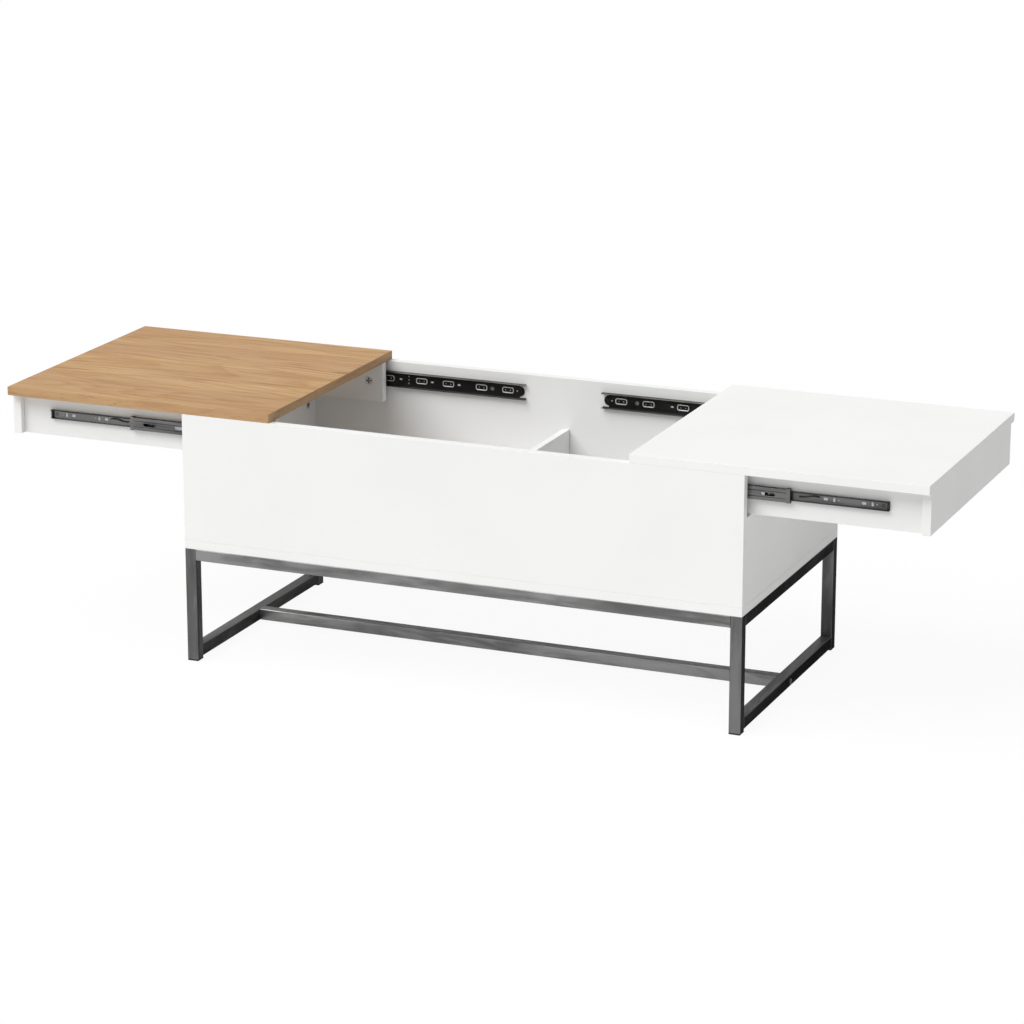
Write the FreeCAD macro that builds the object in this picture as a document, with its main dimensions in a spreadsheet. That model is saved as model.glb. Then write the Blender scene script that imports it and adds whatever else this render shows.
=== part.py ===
import FreeCAD, Part
import os
from types import SimpleNamespace

import Sketcher

# Extending coffee table: a box cabinet on a square-tube frame, with two half tops that slide apart on
# ball-bearing slides. The origin is on the floor under the middle of the cabinet, X runs along the cabinet,
# -Y is the front and +Z is up. Every piece is drawn with the tops closed, and the placements of the moving
# pieces carry them out to the half-open table.

# Driving sizes in millimetres
SIZES = (
    # Cabinet boards
    ("cabinet_length", "1000"),
    ("cabinet_depth", "495"),
    ("board_thickness", "15"),
    ("panel_height", "220"),
    ("board_edge_radius", "0.6"),
    ("divider_thickness", "12"),
    ("divider_height", "129"),
    ("divider_offset", "4"),
    ("divider_clearance", "0.5"),
    # Sliding tops
    ("top_thickness", "15"),
    ("rail_height", "70"),
    ("rail_thickness", "15"),
    ("apron_thickness", "15"),
    ("apron_setback", "1"),
    ("apron_clearance", "1"),
    ("meeting_clearance", "1.5"),
    ("end_setback", "0.5"),
    ("lift_clearance", "3"),
    ("left_extension", "336"),
    ("right_extension", "303"),
    # Tube frame
    ("frame_height", "200"),
    ("tube_width", "20"),
    ("tube_wall", "1.2"),
    ("tube_corner_radius", "1.5"),
    ("floor_rail_clearance", "5"),
    ("foot_thickness", "3"),
    ("foot_edge_radius", "1"),
    ("foot_stem_length", "12"),
    ("plug_clearance", "0.3"),
    ("lug_length", "30"),
    ("nut_block_length", "25"),
    # Ball-bearing slides
    ("slide_space", "12"),
    ("slide_drop", "31.5"),
    ("slide_sheet", "1.2"),
    ("ball_gap", "2"),
    ("ball_diameter", "1.8"),
    ("fixed_slide_height", "28"),
    ("fixed_slide_length", "350"),
    ("fixed_slide_inset", "72"),
    ("fixed_flange_reach", "9"),
    ("fixed_lip", "2"),
    ("end_tongue_diameter", "18"),
    ("end_tongue_setback", "3"),
    ("ring_length", "23"),
    ("ring_height", "12"),
    ("ring_stroke", "1.6"),
    ("ring_bridge", "1.2"),
    ("web_hole_diameter", "3.6"),
    ("web_dot_diameter", "2"),
    ("web_dot_pitch", "6"),
    ("mid_slide_length", "265"),
    ("mid_web_clearance", "1"),
    ("mid_flange_reach", "10.5"),
    ("mid_stop_length", "3"),
    ("mid_stop_rise", "0.9"),
    ("mid_slot_length", "22"),
    ("mid_slot_height", "5"),
    ("left_mid_park", "440"),
    ("right_mid_park", "418.5"),
    ("inner_slide_length", "350"),
    ("inner_slide_setback", "55"),
    ("inner_flange_depth", "7"),
    ("inner_hole_diameter", "5"),
    ("inner_oval_width", "3.5"),
    ("inner_oval_height", "7"),
    ("inner_oval_step", "6.5"),
    ("inner_hole_step", "20"),
    ("cage_sheet", "0.4"),
    ("cage_web_clearance", "0.3"),
    ("cage_flange_depth", "5.5"),
    ("cage_hole_clearance", "0.3"),
    ("ball_setback", "1.5"),
    ("ball_pitch", "12"),
    ("outer_cage_length", "70"),
    ("outer_cage_park", "297"),
    ("inner_cage_length", "90"),
    ("inner_cage_park", "255"),
    # Cam locks and their bolts
    ("cam_diameter", "15"),
    ("cam_depth", "12"),
    ("cam_clearance", "0.1"),
    ("cam_slot_length", "10"),
    ("cam_slot_width", "2.4"),
    ("cam_slot_depth", "2"),
    ("cam_bolt_diameter", "6"),
    ("cam_bolt_clearance", "0.3"),
    ("cam_bolt_start", "1"),
    ("cam_thread_diameter", "5"),
    ("cam_thread_length", "11"),
    ("rail_cam_setback", "33"),
    ("end_cam_setback", "27"),
    ("inner_cam_inset", "27"),
    ("outer_cam_inset", "30"),
    ("apron_cam_rise", "20"),
    ("end_cam_drop", "17"),
    ("end_cam_rise", "35"),
    # Screws and bolts
    ("hole_clearance", "0.15"),
    ("frame_bolt_diameter", "6"),
    ("frame_bolt_grip", "14"),
    ("frame_bolt_head_diameter", "11"),
    ("frame_bolt_head_height", "3"),
    ("frame_bolt_inset", "15"),
    ("stretcher_bolt_grip", "15"),
    ("hex_recess_width", "4.6"),
    ("hex_recess_depth", "1.8"),
    ("cabinet_screw_diameter", "4"),
    ("cabinet_screw_grip", "11"),
    ("cabinet_screw_head_diameter", "8"),
    ("cabinet_screw_head_height", "2.5"),
    ("carcass_screw_diameter", "5"),
    ("carcass_screw_grip", "30"),
    ("carcass_screw_head_diameter", "9"),
    ("carcass_screw_head_height", "3"),
    ("slide_screw_diameter", "3.2"),
    ("slide_screw_grip", "10"),
    ("flush_head_diameter", "7"),
    ("flush_head_height", "0.7"),
    ("pan_head_diameter", "6.5"),
    ("pan_head_height", "2"),
    # Room that cuts take past the faces they go through
    ("overrun", "2"),
)

# Places along a piece as shares of its length
RING_SHARES = (0.099, 0.244, 0.426, 0.574, 0.757)
WEB_HOLE_SHARES = (0.049, 0.368, 0.516, 0.69)
WEB_DOT_SHARE = 0.646
FIXED_SCREW_SHARES = (0.184, 0.82, 0.94)
MID_SLOT_SHARES = (0.14, 0.361, 0.582, 0.803)
INNER_GROUP_SHARES = (0.06, 0.24, 0.42, 0.6, 0.78)
INNER_SCREW_GROUPS = (2, 4)
LONG_SCREW_SHARES = (-0.36, 0, 0.36)
PANEL_SCREW_SHARES = (-0.4, -0.13, 0.13, 0.4)
END_SCREW_SHARES = (-0.25, 0.25)
DIVIDER_SCREW_SHARES = (-0.3, 0, 0.3)
OUTER_BALL_STEPS = (-2, -1, 0, 1, 2)
INNER_BALL_STEPS = (-3, -2, -1, 0, 1, 2, 3)

# Shares of a top's travel that the rolling parts of its slides make
OUTER_TRAVEL_SHARE = 0.25
MID_TRAVEL_SHARE = 0.5
INNER_TRAVEL_SHARE = 0.75

# Origin plane for each axis, and the way a sketch on it faces along that axis
PLANES = {"X": ("YZ_Plane", 1), "Y": ("XZ_Plane", -1), "Z": ("XY_Plane", 1)}
VECTORS = {"X": FreeCAD.Vector(1, 0, 0), "Y": FreeCAD.Vector(0, 1, 0), "Z": FreeCAD.Vector(0, 0, 1)}
SIDES = {"left": -1, "right": 1}
FACES = {"front": -1, "rear": 1}

document = FreeCAD.newDocument("ExtendingTable")
pieces = []


class Size:
    """A length that carries its value and the sheet expression that gives it."""

    def __init__(self, value, text):
        self.value = value
        self.text = text

    def __add__(self, other):
        other = as_size(other)
        return Size(self.value + other.value, f"({self.text} + {other.text})")

    def __sub__(self, other):
        other = as_size(other)
        return Size(self.value - other.value, f"({self.text} - {other.text})")

    def __mul__(self, factor):
        return Size(self.value * factor, f"({factor} * {self.text})")

    def __truediv__(self, divisor):
        return Size(self.value / divisor, f"({self.text} / {divisor})")

    def __neg__(self):
        return self * -1

    __rmul__ = __mul__


def as_size(number):
    """Take a plain number, such as zero, as a size."""
    return number if isinstance(number, Size) else Size(number, str(number))


def fill_sheet():
    """Write the driving sizes to the sheet and return them by name."""
    sheet = document.addObject("Spreadsheet::Sheet", "Sizes")
    named = {}
    for row, (name, text) in enumerate(SIZES, start=1):
        sheet.set(f"A{row}", name)
        sheet.set(f"B{row}", text)
        sheet.setAlias(f"B{row}", name)
        named[name] = Size(float(text), f"Sizes.{name}")
    document.recompute()
    return SimpleNamespace(**named)


size = fill_sheet()

# Levels that several pieces share
half_length = size.cabinet_length / 2
half_depth = size.cabinet_depth / 2
floor_top = size.frame_height + size.board_thickness
panel_top = floor_top + size.panel_height
panel_inner = half_depth - size.board_thickness
end_inner = half_length - size.board_thickness
rail_outer = panel_inner - size.slide_space
rail_inner = rail_outer - size.rail_thickness
rail_base = panel_top - size.rail_height
end_top = rail_base - size.lift_clearance
top_end = half_length - size.end_setback
apron_outer = top_end - size.apron_setback
apron_inner = apron_outer - size.apron_thickness
leg_inner = half_length - size.tube_width
leg_inner_depth = half_depth - size.tube_width
frame_base = size.frame_height - size.tube_width
floor_rail_top = size.floor_rail_clearance + size.tube_width
slide_level = panel_top - size.slide_drop
fixed_end = size.fixed_slide_inset + size.fixed_slide_length
inner_end = apron_inner - size.inner_slide_setback
mid_height = size.fixed_slide_height - (size.slide_sheet + size.ball_gap) * 2
inner_height = mid_height - (size.slide_sheet + size.ball_gap) * 2
mid_web = size.slide_sheet + size.mid_web_clearance
extensions = {"left": size.left_extension, "right": size.right_extension}
mid_parks = {"left": size.left_mid_park, "right": size.right_mid_park}
leg_middle = half_length - size.tube_width / 2
leg_middle_depth = half_depth - size.tube_width / 2
rail_bolt_place = leg_inner - size.frame_bolt_inset
rail_level = size.frame_height - size.tube_width / 2
plug_half = size.tube_width / 2 - size.tube_wall - size.plug_clearance

# Holes that several pieces share
cam_pocket_diameter = size.cam_diameter + size.cam_clearance * 2
cam_pocket_depth = size.cam_depth + size.cam_clearance
cam_channel_diameter = size.cam_bolt_diameter + size.cam_bolt_clearance * 2
cam_thread_diameter = size.cam_thread_diameter + size.hole_clearance * 2
cam_thread_depth = size.cam_thread_length + size.hole_clearance
bolt_hole_diameter = size.frame_bolt_diameter + size.hole_clearance * 2
slide_pilot_diameter = size.slide_screw_diameter + size.hole_clearance * 2


def bind(target, path, length):
    """Bind a property to the expression of a size."""
    target.setExpression(path, as_size(length).text)


def new_body(label, shift=0):
    """Start a solid piece, shifted along X from its closed place."""
    body = document.addObject("PartDesign::Body", label)
    body.Label = label
    bind(body, "Placement.Base.x", shift)
    return body


def piece_body(label, shift=0):
    """Start a solid that is handed out as a node of its own."""
    body = new_body(label, shift)
    pieces.append(body)
    return body


def new_sketch(body, name, axis, level):
    """Open a sketch across an axis at a level along it."""
    role, sense = PLANES[axis]
    plane = next(feature for feature in body.Origin.OriginFeatures if feature.Role == role)
    sketch = body.newObject("Sketcher::SketchObject", f"{name}Sketch")
    sketch.AttachmentSupport = [(plane, "")]
    sketch.MapMode = "FlatFace"
    bind(sketch, "AttachmentOffset.Base.z", as_size(level) * sense)
    return sketch


def hold_point(curve, point, across, up):
    """Dimensions that hold a point of a curve at its distances from the sketch origin."""
    dimensions = []
    for kind, length in (("DistanceX", across), ("DistanceY", up)):
        constraint = Sketcher.Constraint(kind, -1, 1, curve, point, as_size(length).value)
        dimensions.append((constraint, length))
    return dimensions


def add_dimensions(sketch, dimensions):
    """Add dimensions to a sketch and bind each to its size."""
    first = sketch.ConstraintCount
    sketch.addConstraint([constraint for constraint, _ in dimensions])
    for index, (_, length) in enumerate(dimensions, start=first):
        bind(sketch, f"Constraints[{index}]", length)


def draw_outline(sketch, corners):
    """Draw a closed straight-sided outline through corners given as pairs of sizes."""
    first = sketch.GeometryCount
    count = len(corners)
    points = [FreeCAD.Vector(as_size(u).value, as_size(v).value, 0) for u, v in corners]
    ends = points[1:] + points[:1]
    sketch.addGeometry([Part.LineSegment(point, end) for point, end in zip(points, ends)], False)
    corner_joints = []
    dimensions = []
    for index, (u, v) in enumerate(corners):
        following = first + (index + 1) % count
        corner_joints.append(Sketcher.Constraint("Coincident", first + index, 2, following, 1))
        dimensions += hold_point(first + index, 1, u, v)
    sketch.addConstraint(corner_joints)
    add_dimensions(sketch, dimensions)


def draw_circle(sketch, centre, diameter):
    """Draw a circle about a centre given as a pair of sizes."""
    u, v = centre
    middle = FreeCAD.Vector(as_size(u).value, as_size(v).value, 0)
    circle = sketch.addGeometry(Part.Circle(middle, VECTORS["Z"], diameter.value / 2), False)
    dimensions = hold_point(circle, 3, u, v)
    dimensions.append((Sketcher.Constraint("Diameter", circle, diameter.value), diameter))
    add_dimensions(sketch, dimensions)


def rectangle(low_u, high_u, low_v, high_v):
    """Corners of a rectangle."""
    return [(low_u, low_v), (high_u, low_v), (high_u, high_v), (low_u, high_v)]


def pad_sketch(body, name, axis, low, high, sketch):
    """Pad a sketch along an axis from its level to another."""
    pad = body.newObject("PartDesign::Pad", name)
    pad.Profile = sketch
    pad.Reversed = axis == "Y"
    bind(pad, "Length", as_size(high) - low)
    return pad


def add_prism(body, name, axis, low, high, corners):
    """Pad an outline along an axis from one level to another."""
    sketch = new_sketch(body, name, axis, low)
    draw_outline(sketch, corners)
    return pad_sketch(body, name, axis, low, high, sketch)


def add_disc(body, name, axis, low, high, centre, diameter):
    """Pad a circle along an axis from one level to another."""
    sketch = new_sketch(body, name, axis, low)
    draw_circle(sketch, centre, diameter)
    pad_sketch(body, name, axis, low, high, sketch)


def cut_through(body, name, axis, low, high, sketch):
    """Pocket a sketch along an axis from its level to another."""
    pocket = body.newObject("PartDesign::Pocket", name)
    pocket.Profile = sketch
    pocket.Reversed = axis != "Y"
    bind(pocket, "Length", as_size(high) - low)


def cut_prisms(body, name, axis, low, high, outlines):
    """Cut outlines out of a body along an axis from one level to another."""
    sketch = new_sketch(body, name, axis, low)
    for corners in outlines:
        draw_outline(sketch, corners)
    cut_through(body, name, axis, low, high, sketch)


def bore(body, name, axis, low, high, centres, diameter):
    """Bore round holes along an axis from one level to another."""
    sketch = new_sketch(body, name, axis, low)
    for centre in centres:
        draw_circle(sketch, centre, diameter)
    cut_through(body, name, axis, low, high, sketch)


def round_edges(body, name, feature, radius, axis=None):
    """Round all edges of a feature, or only those that run along one axis."""
    fillet = body.newObject("PartDesign::Fillet", name)
    if axis is None:
        fillet.Base = (feature, [""])
        fillet.UseAllEdges = True
    else:
        document.recompute()
        names = []
        for number, edge in enumerate(feature.Shape.Edges, start=1):
            if edge.tangentAt(edge.FirstParameter).cross(VECTORS[axis]).Length < Part.Precision.confusion():
                names.append(f"Edge{number}")
        fillet.Base = (feature, names)
    bind(fillet, "Radius", radius)


def board(label, x_span, y_span, z_span, shift=0):
    """Make a coated board with eased edges."""
    body = piece_body(label, shift)
    pad = add_prism(body, "Board", "Z", *z_span, rectangle(*x_span, *y_span))
    round_edges(body, "EasedEdges", pad, size.board_edge_radius)
    return body


def tube(label, axis, span, u_span, v_span):
    """Make a square tube along an axis, with rounded corners and an open bore."""
    body = piece_body(label)
    low, high = span
    pad = add_prism(body, "Tube", axis, low, high, rectangle(*u_span, *v_span))
    round_edges(body, "TubeCorners", pad, size.tube_corner_radius, axis)
    inner_u = (u_span[0] + size.tube_wall, u_span[1] - size.tube_wall)
    inner_v = (v_span[0] + size.tube_wall, v_span[1] - size.tube_wall)
    bore_outline = rectangle(*inner_u, *inner_v)
    cut_prisms(body, "TubeBore", axis, low - size.overrun, high + size.overrun, [bore_outline])
    return body


def spread(sign, near, far):
    """Span between two distances from the middle plane, on the side that sign gives."""
    return (near, far) if sign > 0 else (-far, -near)


def spread_both(half):
    """Span that is even about the middle plane."""
    return (-half, half)


def facing(direction, across):
    """Turn local Z to one direction and local X to another, each an axis name with a sign."""
    upright = VECTORS[direction[0]] * direction[1]
    sideways = VECTORS[across[0]] * across[1]
    return FreeCAD.Rotation(sideways, upright.cross(sideways), upright, "ZXY")


def place(target, turn, x, y, z):
    """Turn a piece and bind its place to sizes."""
    target.Placement = FreeCAD.Placement(FreeCAD.Vector(), turn)
    for axis, length in zip("xyz", (x, y, z)):
        bind(target, f"Placement.Base.{axis}", length)


def cylinder(name, diameter, height, level=0):
    """Make a round bar along Z that starts at a level."""
    bar = document.addObject("Part::Cylinder", name)
    bind(bar, "Radius", diameter / 2)
    bind(bar, "Height", height)
    bind(bar, "Placement.Base.z", level)
    return bar


def fuse(name, base, tool):
    """Join two solids."""
    joined = document.addObject("Part::Fuse", name)
    joined.Base = base
    joined.Tool = tool
    return joined


def cut(name, base, tool):
    """Take one solid out of another."""
    rest = document.addObject("Part::Cut", name)
    rest.Base = base
    rest.Tool = tool
    return rest


def headed(name, diameter, length, head_diameter, head_height, recess_width, recess_depth):
    """Make a screw along Z, with the seat of its head at zero and a hexagon recess in the head."""
    shank = cylinder(f"{name}_shank", diameter, length)
    head = cylinder(f"{name}_head", head_diameter, head_height, -head_height)
    recess = document.addObject("Part::Prism", f"{name}_recess")
    bind(recess, "Circumradius", recess_width / 2)
    bind(recess, "Height", recess_depth)
    bind(recess, "Placement.Base.z", -head_height)
    return cut(name, fuse(f"{name}_blank", shank, head), recess)


def copies(label, master, places):
    """Place copies of one master, each at a turn and a place."""
    placed = []
    for number, (turn, x, y, z) in enumerate(places, start=1):
        copy = document.addObject("App::Link", f"{label}_{number}")
        copy.LinkedObject = master
        place(copy, turn, x, y, z)
        placed.append(copy)
    return placed


def gather(label, members):
    """Hand out several solids as one node."""
    compound = document.addObject("Part::Compound", label)
    compound.Label = label
    compound.Links = members
    pieces.append(compound)


def group(label, master, places):
    """Hand out placed copies of one master as one node."""
    gather(label, copies(label, master, places))


def cam_lock(name):
    """Make a cam: a drum along Z with a cross slot in its face and a bolt hole along local X."""
    drum = cylinder(f"{name}_drum", size.cam_diameter, size.cam_depth)
    slots = []
    for turn, (length, width) in enumerate(((size.cam_slot_length, size.cam_slot_width),
                                            (size.cam_slot_width, size.cam_slot_length))):
        slot = document.addObject("Part::Box", f"{name}_slot_{turn}")
        bind(slot, "Length", length)
        bind(slot, "Width", width)
        bind(slot, "Height", size.cam_slot_depth)
        place(slot, FreeCAD.Rotation(), -length / 2, -width / 2, 0)
        slots.append(slot)
    entry = cylinder(f"{name}_entry", cam_channel_diameter, size.cam_diameter)
    place(entry, facing(("X", 1), ("Y", 1)), 0, 0, size.board_thickness / 2)
    slotted = cut(f"{name}_slotted", drum, fuse(f"{name}_cross", *slots))
    return cut(name, slotted, entry)


def cam_bolt(name, setback):
    """Make a cam bolt along Z from the cam's middle, through the board edge, with its thread past it."""
    length = setback - size.cam_bolt_start
    shank = cylinder(f"{name}_shank", size.cam_bolt_diameter, length, size.cam_bolt_start)
    thread = cylinder(f"{name}_thread", size.cam_thread_diameter, size.cam_thread_length, setback)
    return fuse(name, shank, thread)


def carcass_screw_places():
    """Places of the screws that come up through the bottom board, sorted by the piece they hold."""
    long_places = [size.cabinet_length * share for share in PANEL_SCREW_SHARES]
    end_places = [size.cabinet_depth * share for share in END_SCREW_SHARES]
    divider_places = [size.cabinet_depth * share for share in DIVIDER_SCREW_SHARES]
    middle = half_depth - size.board_thickness / 2
    end_middle = half_length - size.board_thickness / 2
    return {
        "front_panel": [(x, -middle) for x in long_places],
        "back_panel": [(x, middle) for x in long_places],
        "left_end_panel": [(-end_middle, y) for y in end_places],
        "right_end_panel": [(end_middle, y) for y in end_places],
        "divider_panel": [(size.divider_offset, y) for y in divider_places],
    }


def frame_screw_places():
    """Places of the screws that come up through the frame into the bottom board."""
    places = []
    for sign in FACES.values():
        for share in LONG_SCREW_SHARES:
            places.append((size.cabinet_length * share, leg_middle_depth * sign))
    for sign in SIDES.values():
        places.append((leg_middle * sign, as_size(0)))
    return places


def end_cam_places():
    """Depths and heights of the cams on an end panel's inner face."""
    depth = panel_inner - size.end_cam_setback
    heights = (floor_top + size.end_cam_rise, end_top - size.end_cam_drop)
    return [(depth * sign, height, sign) for sign in FACES.values() for height in heights]


def build_carcass():
    """Make the bottom board, the four walls and the divider, with the cams and screws that join them."""
    screws = carcass_screw_places()
    bottom = board("bottom_board", spread_both(half_length), spread_both(half_depth),
                   (size.frame_height, floor_top))
    centres = [centre for places in screws.values() for centre in places]
    head_hole = size.carcass_screw_head_diameter + size.hole_clearance * 2
    seat = size.frame_height + size.carcass_screw_head_height
    below = size.frame_height - size.overrun
    bore(bottom, "HeadHoles", "Z", below, seat, centres, head_hole)
    screw_hole = size.carcass_screw_diameter + size.hole_clearance * 2
    bore(bottom, "ScrewHoles", "Z", below, floor_top + size.overrun, centres, screw_hole)
    pilot = size.cabinet_screw_diameter + size.hole_clearance * 2
    pilot_top = size.frame_height + size.cabinet_screw_grip + size.hole_clearance
    bore(bottom, "FramePilots", "Z", below, pilot_top, frame_screw_places(), pilot)

    pilot_end = seat + size.board_thickness + size.carcass_screw_grip
    below_wall = floor_top - size.overrun
    end_middle = half_length - size.board_thickness / 2
    for name, sign in (("front_panel", -1), ("back_panel", 1)):
        depths = spread(sign, panel_inner, half_depth)
        panel = board(name, spread_both(half_length), depths, (floor_top, panel_top))
        bore(panel, "ScrewPilots", "Z", below_wall, pilot_end, screws[name], screw_hole)
        cam_holes = []
        for x in (-end_middle, end_middle):
            cam_holes += [(x, height) for _, height, face in end_cam_places() if face == sign]
        span = spread(sign, panel_inner - size.overrun, panel_inner + cam_thread_depth)
        bore(panel, "CamBoltHoles", "Y", *span, cam_holes, cam_thread_diameter)
        slide_holes = []
        for side in SIDES.values():
            slide_holes += [(x, slide_level) for x in fixed_slide_places(side, FIXED_SCREW_SHARES)]
        reach = panel_inner + size.slide_screw_grip + size.hole_clearance
        span = spread(sign, panel_inner - size.overrun, reach)
        bore(panel, "SlidePilots", "Y", *span, slide_holes, slide_pilot_diameter)

    for side, sign in SIDES.items():
        name = f"{side}_end_panel"
        widths = spread(sign, end_inner, half_length)
        panel = board(name, widths, spread_both(panel_inner), (floor_top, end_top))
        bore(panel, "ScrewPilots", "Z", below_wall, pilot_end, screws[name], screw_hole)
        pockets = [(depth, height) for depth, height, _ in end_cam_places()]
        span = spread(sign, end_inner - size.overrun, end_inner + cam_pocket_depth)
        bore(panel, "CamPockets", "X", *span, pockets, cam_pocket_diameter)
        for face_name, face in FACES.items():
            heights = [height for _, height, cam_face in end_cam_places() if cam_face == face]
            channels = [(end_middle * sign, height) for height in heights]
            reach = spread(face, panel_inner - size.end_cam_setback, panel_inner + size.overrun)
            bore(panel, f"{face_name}CamChannels", "Y", *reach, channels, cam_channel_diameter)

    half_divider = size.divider_thickness / 2
    divider_half_depth = panel_inner - size.divider_clearance
    divider = board("divider_panel", (size.divider_offset - half_divider, size.divider_offset + half_divider),
                    spread_both(divider_half_depth), (floor_top, floor_top + size.divider_height))
    bore(divider, "ScrewPilots", "Z", below_wall, pilot_end, screws["divider_panel"], screw_hole)

    cams = []
    bolts = []
    for side in SIDES.values():
        for depth, height, face in end_cam_places():
            cams.append((facing(("X", side), ("Y", face)), end_inner * side, depth, height))
            bolts.append((facing(("Y", face), ("Z", 1)), end_middle * side, depth, height))
    group("carcass_cam_locks", cam_lock("end_cam"), cams)
    group("carcass_cam_bolts", cam_bolt("end_cam_bolt", size.end_cam_setback), bolts)
    length = size.board_thickness + size.carcass_screw_grip - size.hole_clearance
    master = headed("carcass_screw", size.carcass_screw_diameter, length, size.carcass_screw_head_diameter,
                    size.carcass_screw_head_height, size.hex_recess_width, size.hex_recess_depth)
    up = facing(("Z", 1), ("X", 1))
    group("carcass_screws", master, [(up, x, y, seat) for x, y in centres])


def build_legs():
    """Make the four legs and the lugs welded to them, which enter the ends of the long rails."""
    heights = (size.foot_thickness, size.frame_height)
    for face, face_sign in FACES.items():
        depths = spread(face_sign, leg_inner_depth, half_depth)
        for side, sign in SIDES.items():
            tube(f"{face}_{side}_leg", "Z", heights, spread(sign, leg_inner, half_length), depths)

    lug = new_body("rail_lug")
    add_prism(lug, "Block", "X", 0, size.lug_length, rectangle(*spread_both(plug_half) * 2))
    thread_place = [(size.frame_bolt_inset, 0)]
    bore(lug, "Thread", "Y", *spread_both(plug_half + size.overrun), thread_place, bolt_hole_diameter)
    places = []
    for side in SIDES.values():
        inward = facing(("Z", 1), ("X", -side))
        for face in FACES.values():
            places.append((inward, leg_inner * side, leg_middle_depth * face, rail_level))
    group("rail_lugs", lug, places)


def bore_screw_ways(rail, centres):
    """Bore the way of the cabinet screws: a wide access hole below and a screw hole above."""
    access = size.cabinet_screw_head_diameter + size.hole_clearance * 2
    bore(rail, "AccessHoles", "Z", frame_base - size.overrun, rail_level, centres, access)
    screw_hole = size.cabinet_screw_diameter + size.hole_clearance * 2
    bore(rail, "ScrewHoles", "Z", rail_level, size.frame_height + size.overrun, centres, screw_hole)


def build_rails():
    """Make the rails that join the legs, and the stretcher near the floor."""
    long_span = spread_both(leg_inner)
    deep_span = spread_both(leg_inner_depth)
    top_heights = (frame_base, size.frame_height)
    floor_heights = (size.floor_rail_clearance, floor_rail_top)
    for face, sign in FACES.items():
        depths = spread(sign, leg_inner_depth, half_depth)
        rail = tube(f"{face}_long_rail", "X", long_span, depths, top_heights)
        middle = leg_middle_depth * sign
        screws = [(size.cabinet_length * share, middle) for share in LONG_SCREW_SHARES]
        bore_screw_ways(rail, screws)
        bolts = [(rail_bolt_place * side, rail_level) for side in SIDES.values()]
        wall = spread(sign, leg_inner_depth - size.overrun,
                      leg_inner_depth + size.tube_wall + size.plug_clearance)
        bore(rail, "BoltHoles", "Y", *wall, bolts, bolt_hole_diameter)
    middle_height = size.floor_rail_clearance + size.tube_width / 2
    for side, sign in SIDES.items():
        width_span = spread(sign, leg_inner, half_length)
        rail = tube(f"{side}_side_rail", "Y", deep_span, width_span, top_heights)
        bore_screw_ways(rail, [(leg_middle * sign, 0)])
        floor_rail = tube(f"{side}_floor_rail", "Y", deep_span, width_span, floor_heights)
        through = spread(sign, leg_inner - size.overrun, half_length + size.overrun)
        bore(floor_rail, "BoltHole", "X", *through, [(0, middle_height)], bolt_hole_diameter)
    tube("stretcher", "X", long_span, spread_both(size.tube_width / 2), floor_heights)


def build_frame_hardware():
    """Make the feet, the nut blocks in the stretcher, and the bolts and screws of the frame."""
    foot = new_body("foot_glide")
    plate_outline = rectangle(*spread_both(size.tube_width / 2) * 2)
    plate = add_prism(foot, "Plate", "Z", 0, size.foot_thickness, plate_outline)
    round_edges(foot, "PlateEdges", plate, size.foot_edge_radius)
    stem_top = size.foot_thickness + size.foot_stem_length
    stem_base = size.foot_thickness / 2
    add_prism(foot, "Stem", "Z", stem_base, stem_top, rectangle(*spread_both(plug_half) * 2))
    upright = facing(("Z", 1), ("X", 1))
    corners = []
    rail_ends = []
    for side in SIDES.values():
        for face in FACES.values():
            corners.append((upright, leg_middle * side, leg_middle_depth * face, 0))
            outward = facing(("Y", face), ("X", 1))
            rail_ends.append((outward, rail_bolt_place * side, leg_inner_depth * face, rail_level))
    group("foot_glides", foot, corners)

    block = new_body("nut_block")
    add_prism(block, "Block", "Z", 0, size.nut_block_length, rectangle(*spread_both(plug_half) * 2))
    grip = size.stretcher_bolt_grip + size.hole_clearance
    bore(block, "Thread", "Z", -size.overrun, grip, [(0, 0)], bolt_hole_diameter)
    middle_height = size.floor_rail_clearance + size.tube_width / 2
    inward = {sign: facing(("X", -sign), ("Y", 1)) for sign in SIDES.values()}
    group("stretcher_nut_blocks", block,
          [(turn, leg_inner * sign, 0, middle_height) for sign, turn in inward.items()])

    head = (size.frame_bolt_head_diameter, size.frame_bolt_head_height, size.hex_recess_width,
            size.hex_recess_depth)
    long_shank = size.tube_width + size.stretcher_bolt_grip - size.hole_clearance
    long_bolt = headed("stretcher_bolt", size.frame_bolt_diameter, long_shank, *head)
    stretcher_ends = [(turn, half_length * sign, 0, middle_height) for sign, turn in inward.items()]
    short_bolt = headed("rail_bolt", size.frame_bolt_diameter, size.frame_bolt_grip, *head)
    gather("frame_bolts", copies("stretcher_bolts", long_bolt, stretcher_ends)
           + copies("rail_bolts", short_bolt, rail_ends))
    screw = headed("cabinet_screw", size.cabinet_screw_diameter, size.tube_wall + size.cabinet_screw_grip,
                   size.cabinet_screw_head_diameter, size.cabinet_screw_head_height,
                   size.cabinet_screw_diameter, size.hex_recess_depth)
    seat = size.frame_height - size.tube_wall
    group("cabinet_screws", screw, [(upright, x, y, seat) for x, y in frame_screw_places()])


def fixed_slide_places(side, shares):
    """Distances along X of features on a fixed slide, from its end near the middle of the cabinet."""
    return [(size.fixed_slide_inset + size.fixed_slide_length * share) * side for share in shares]


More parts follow.
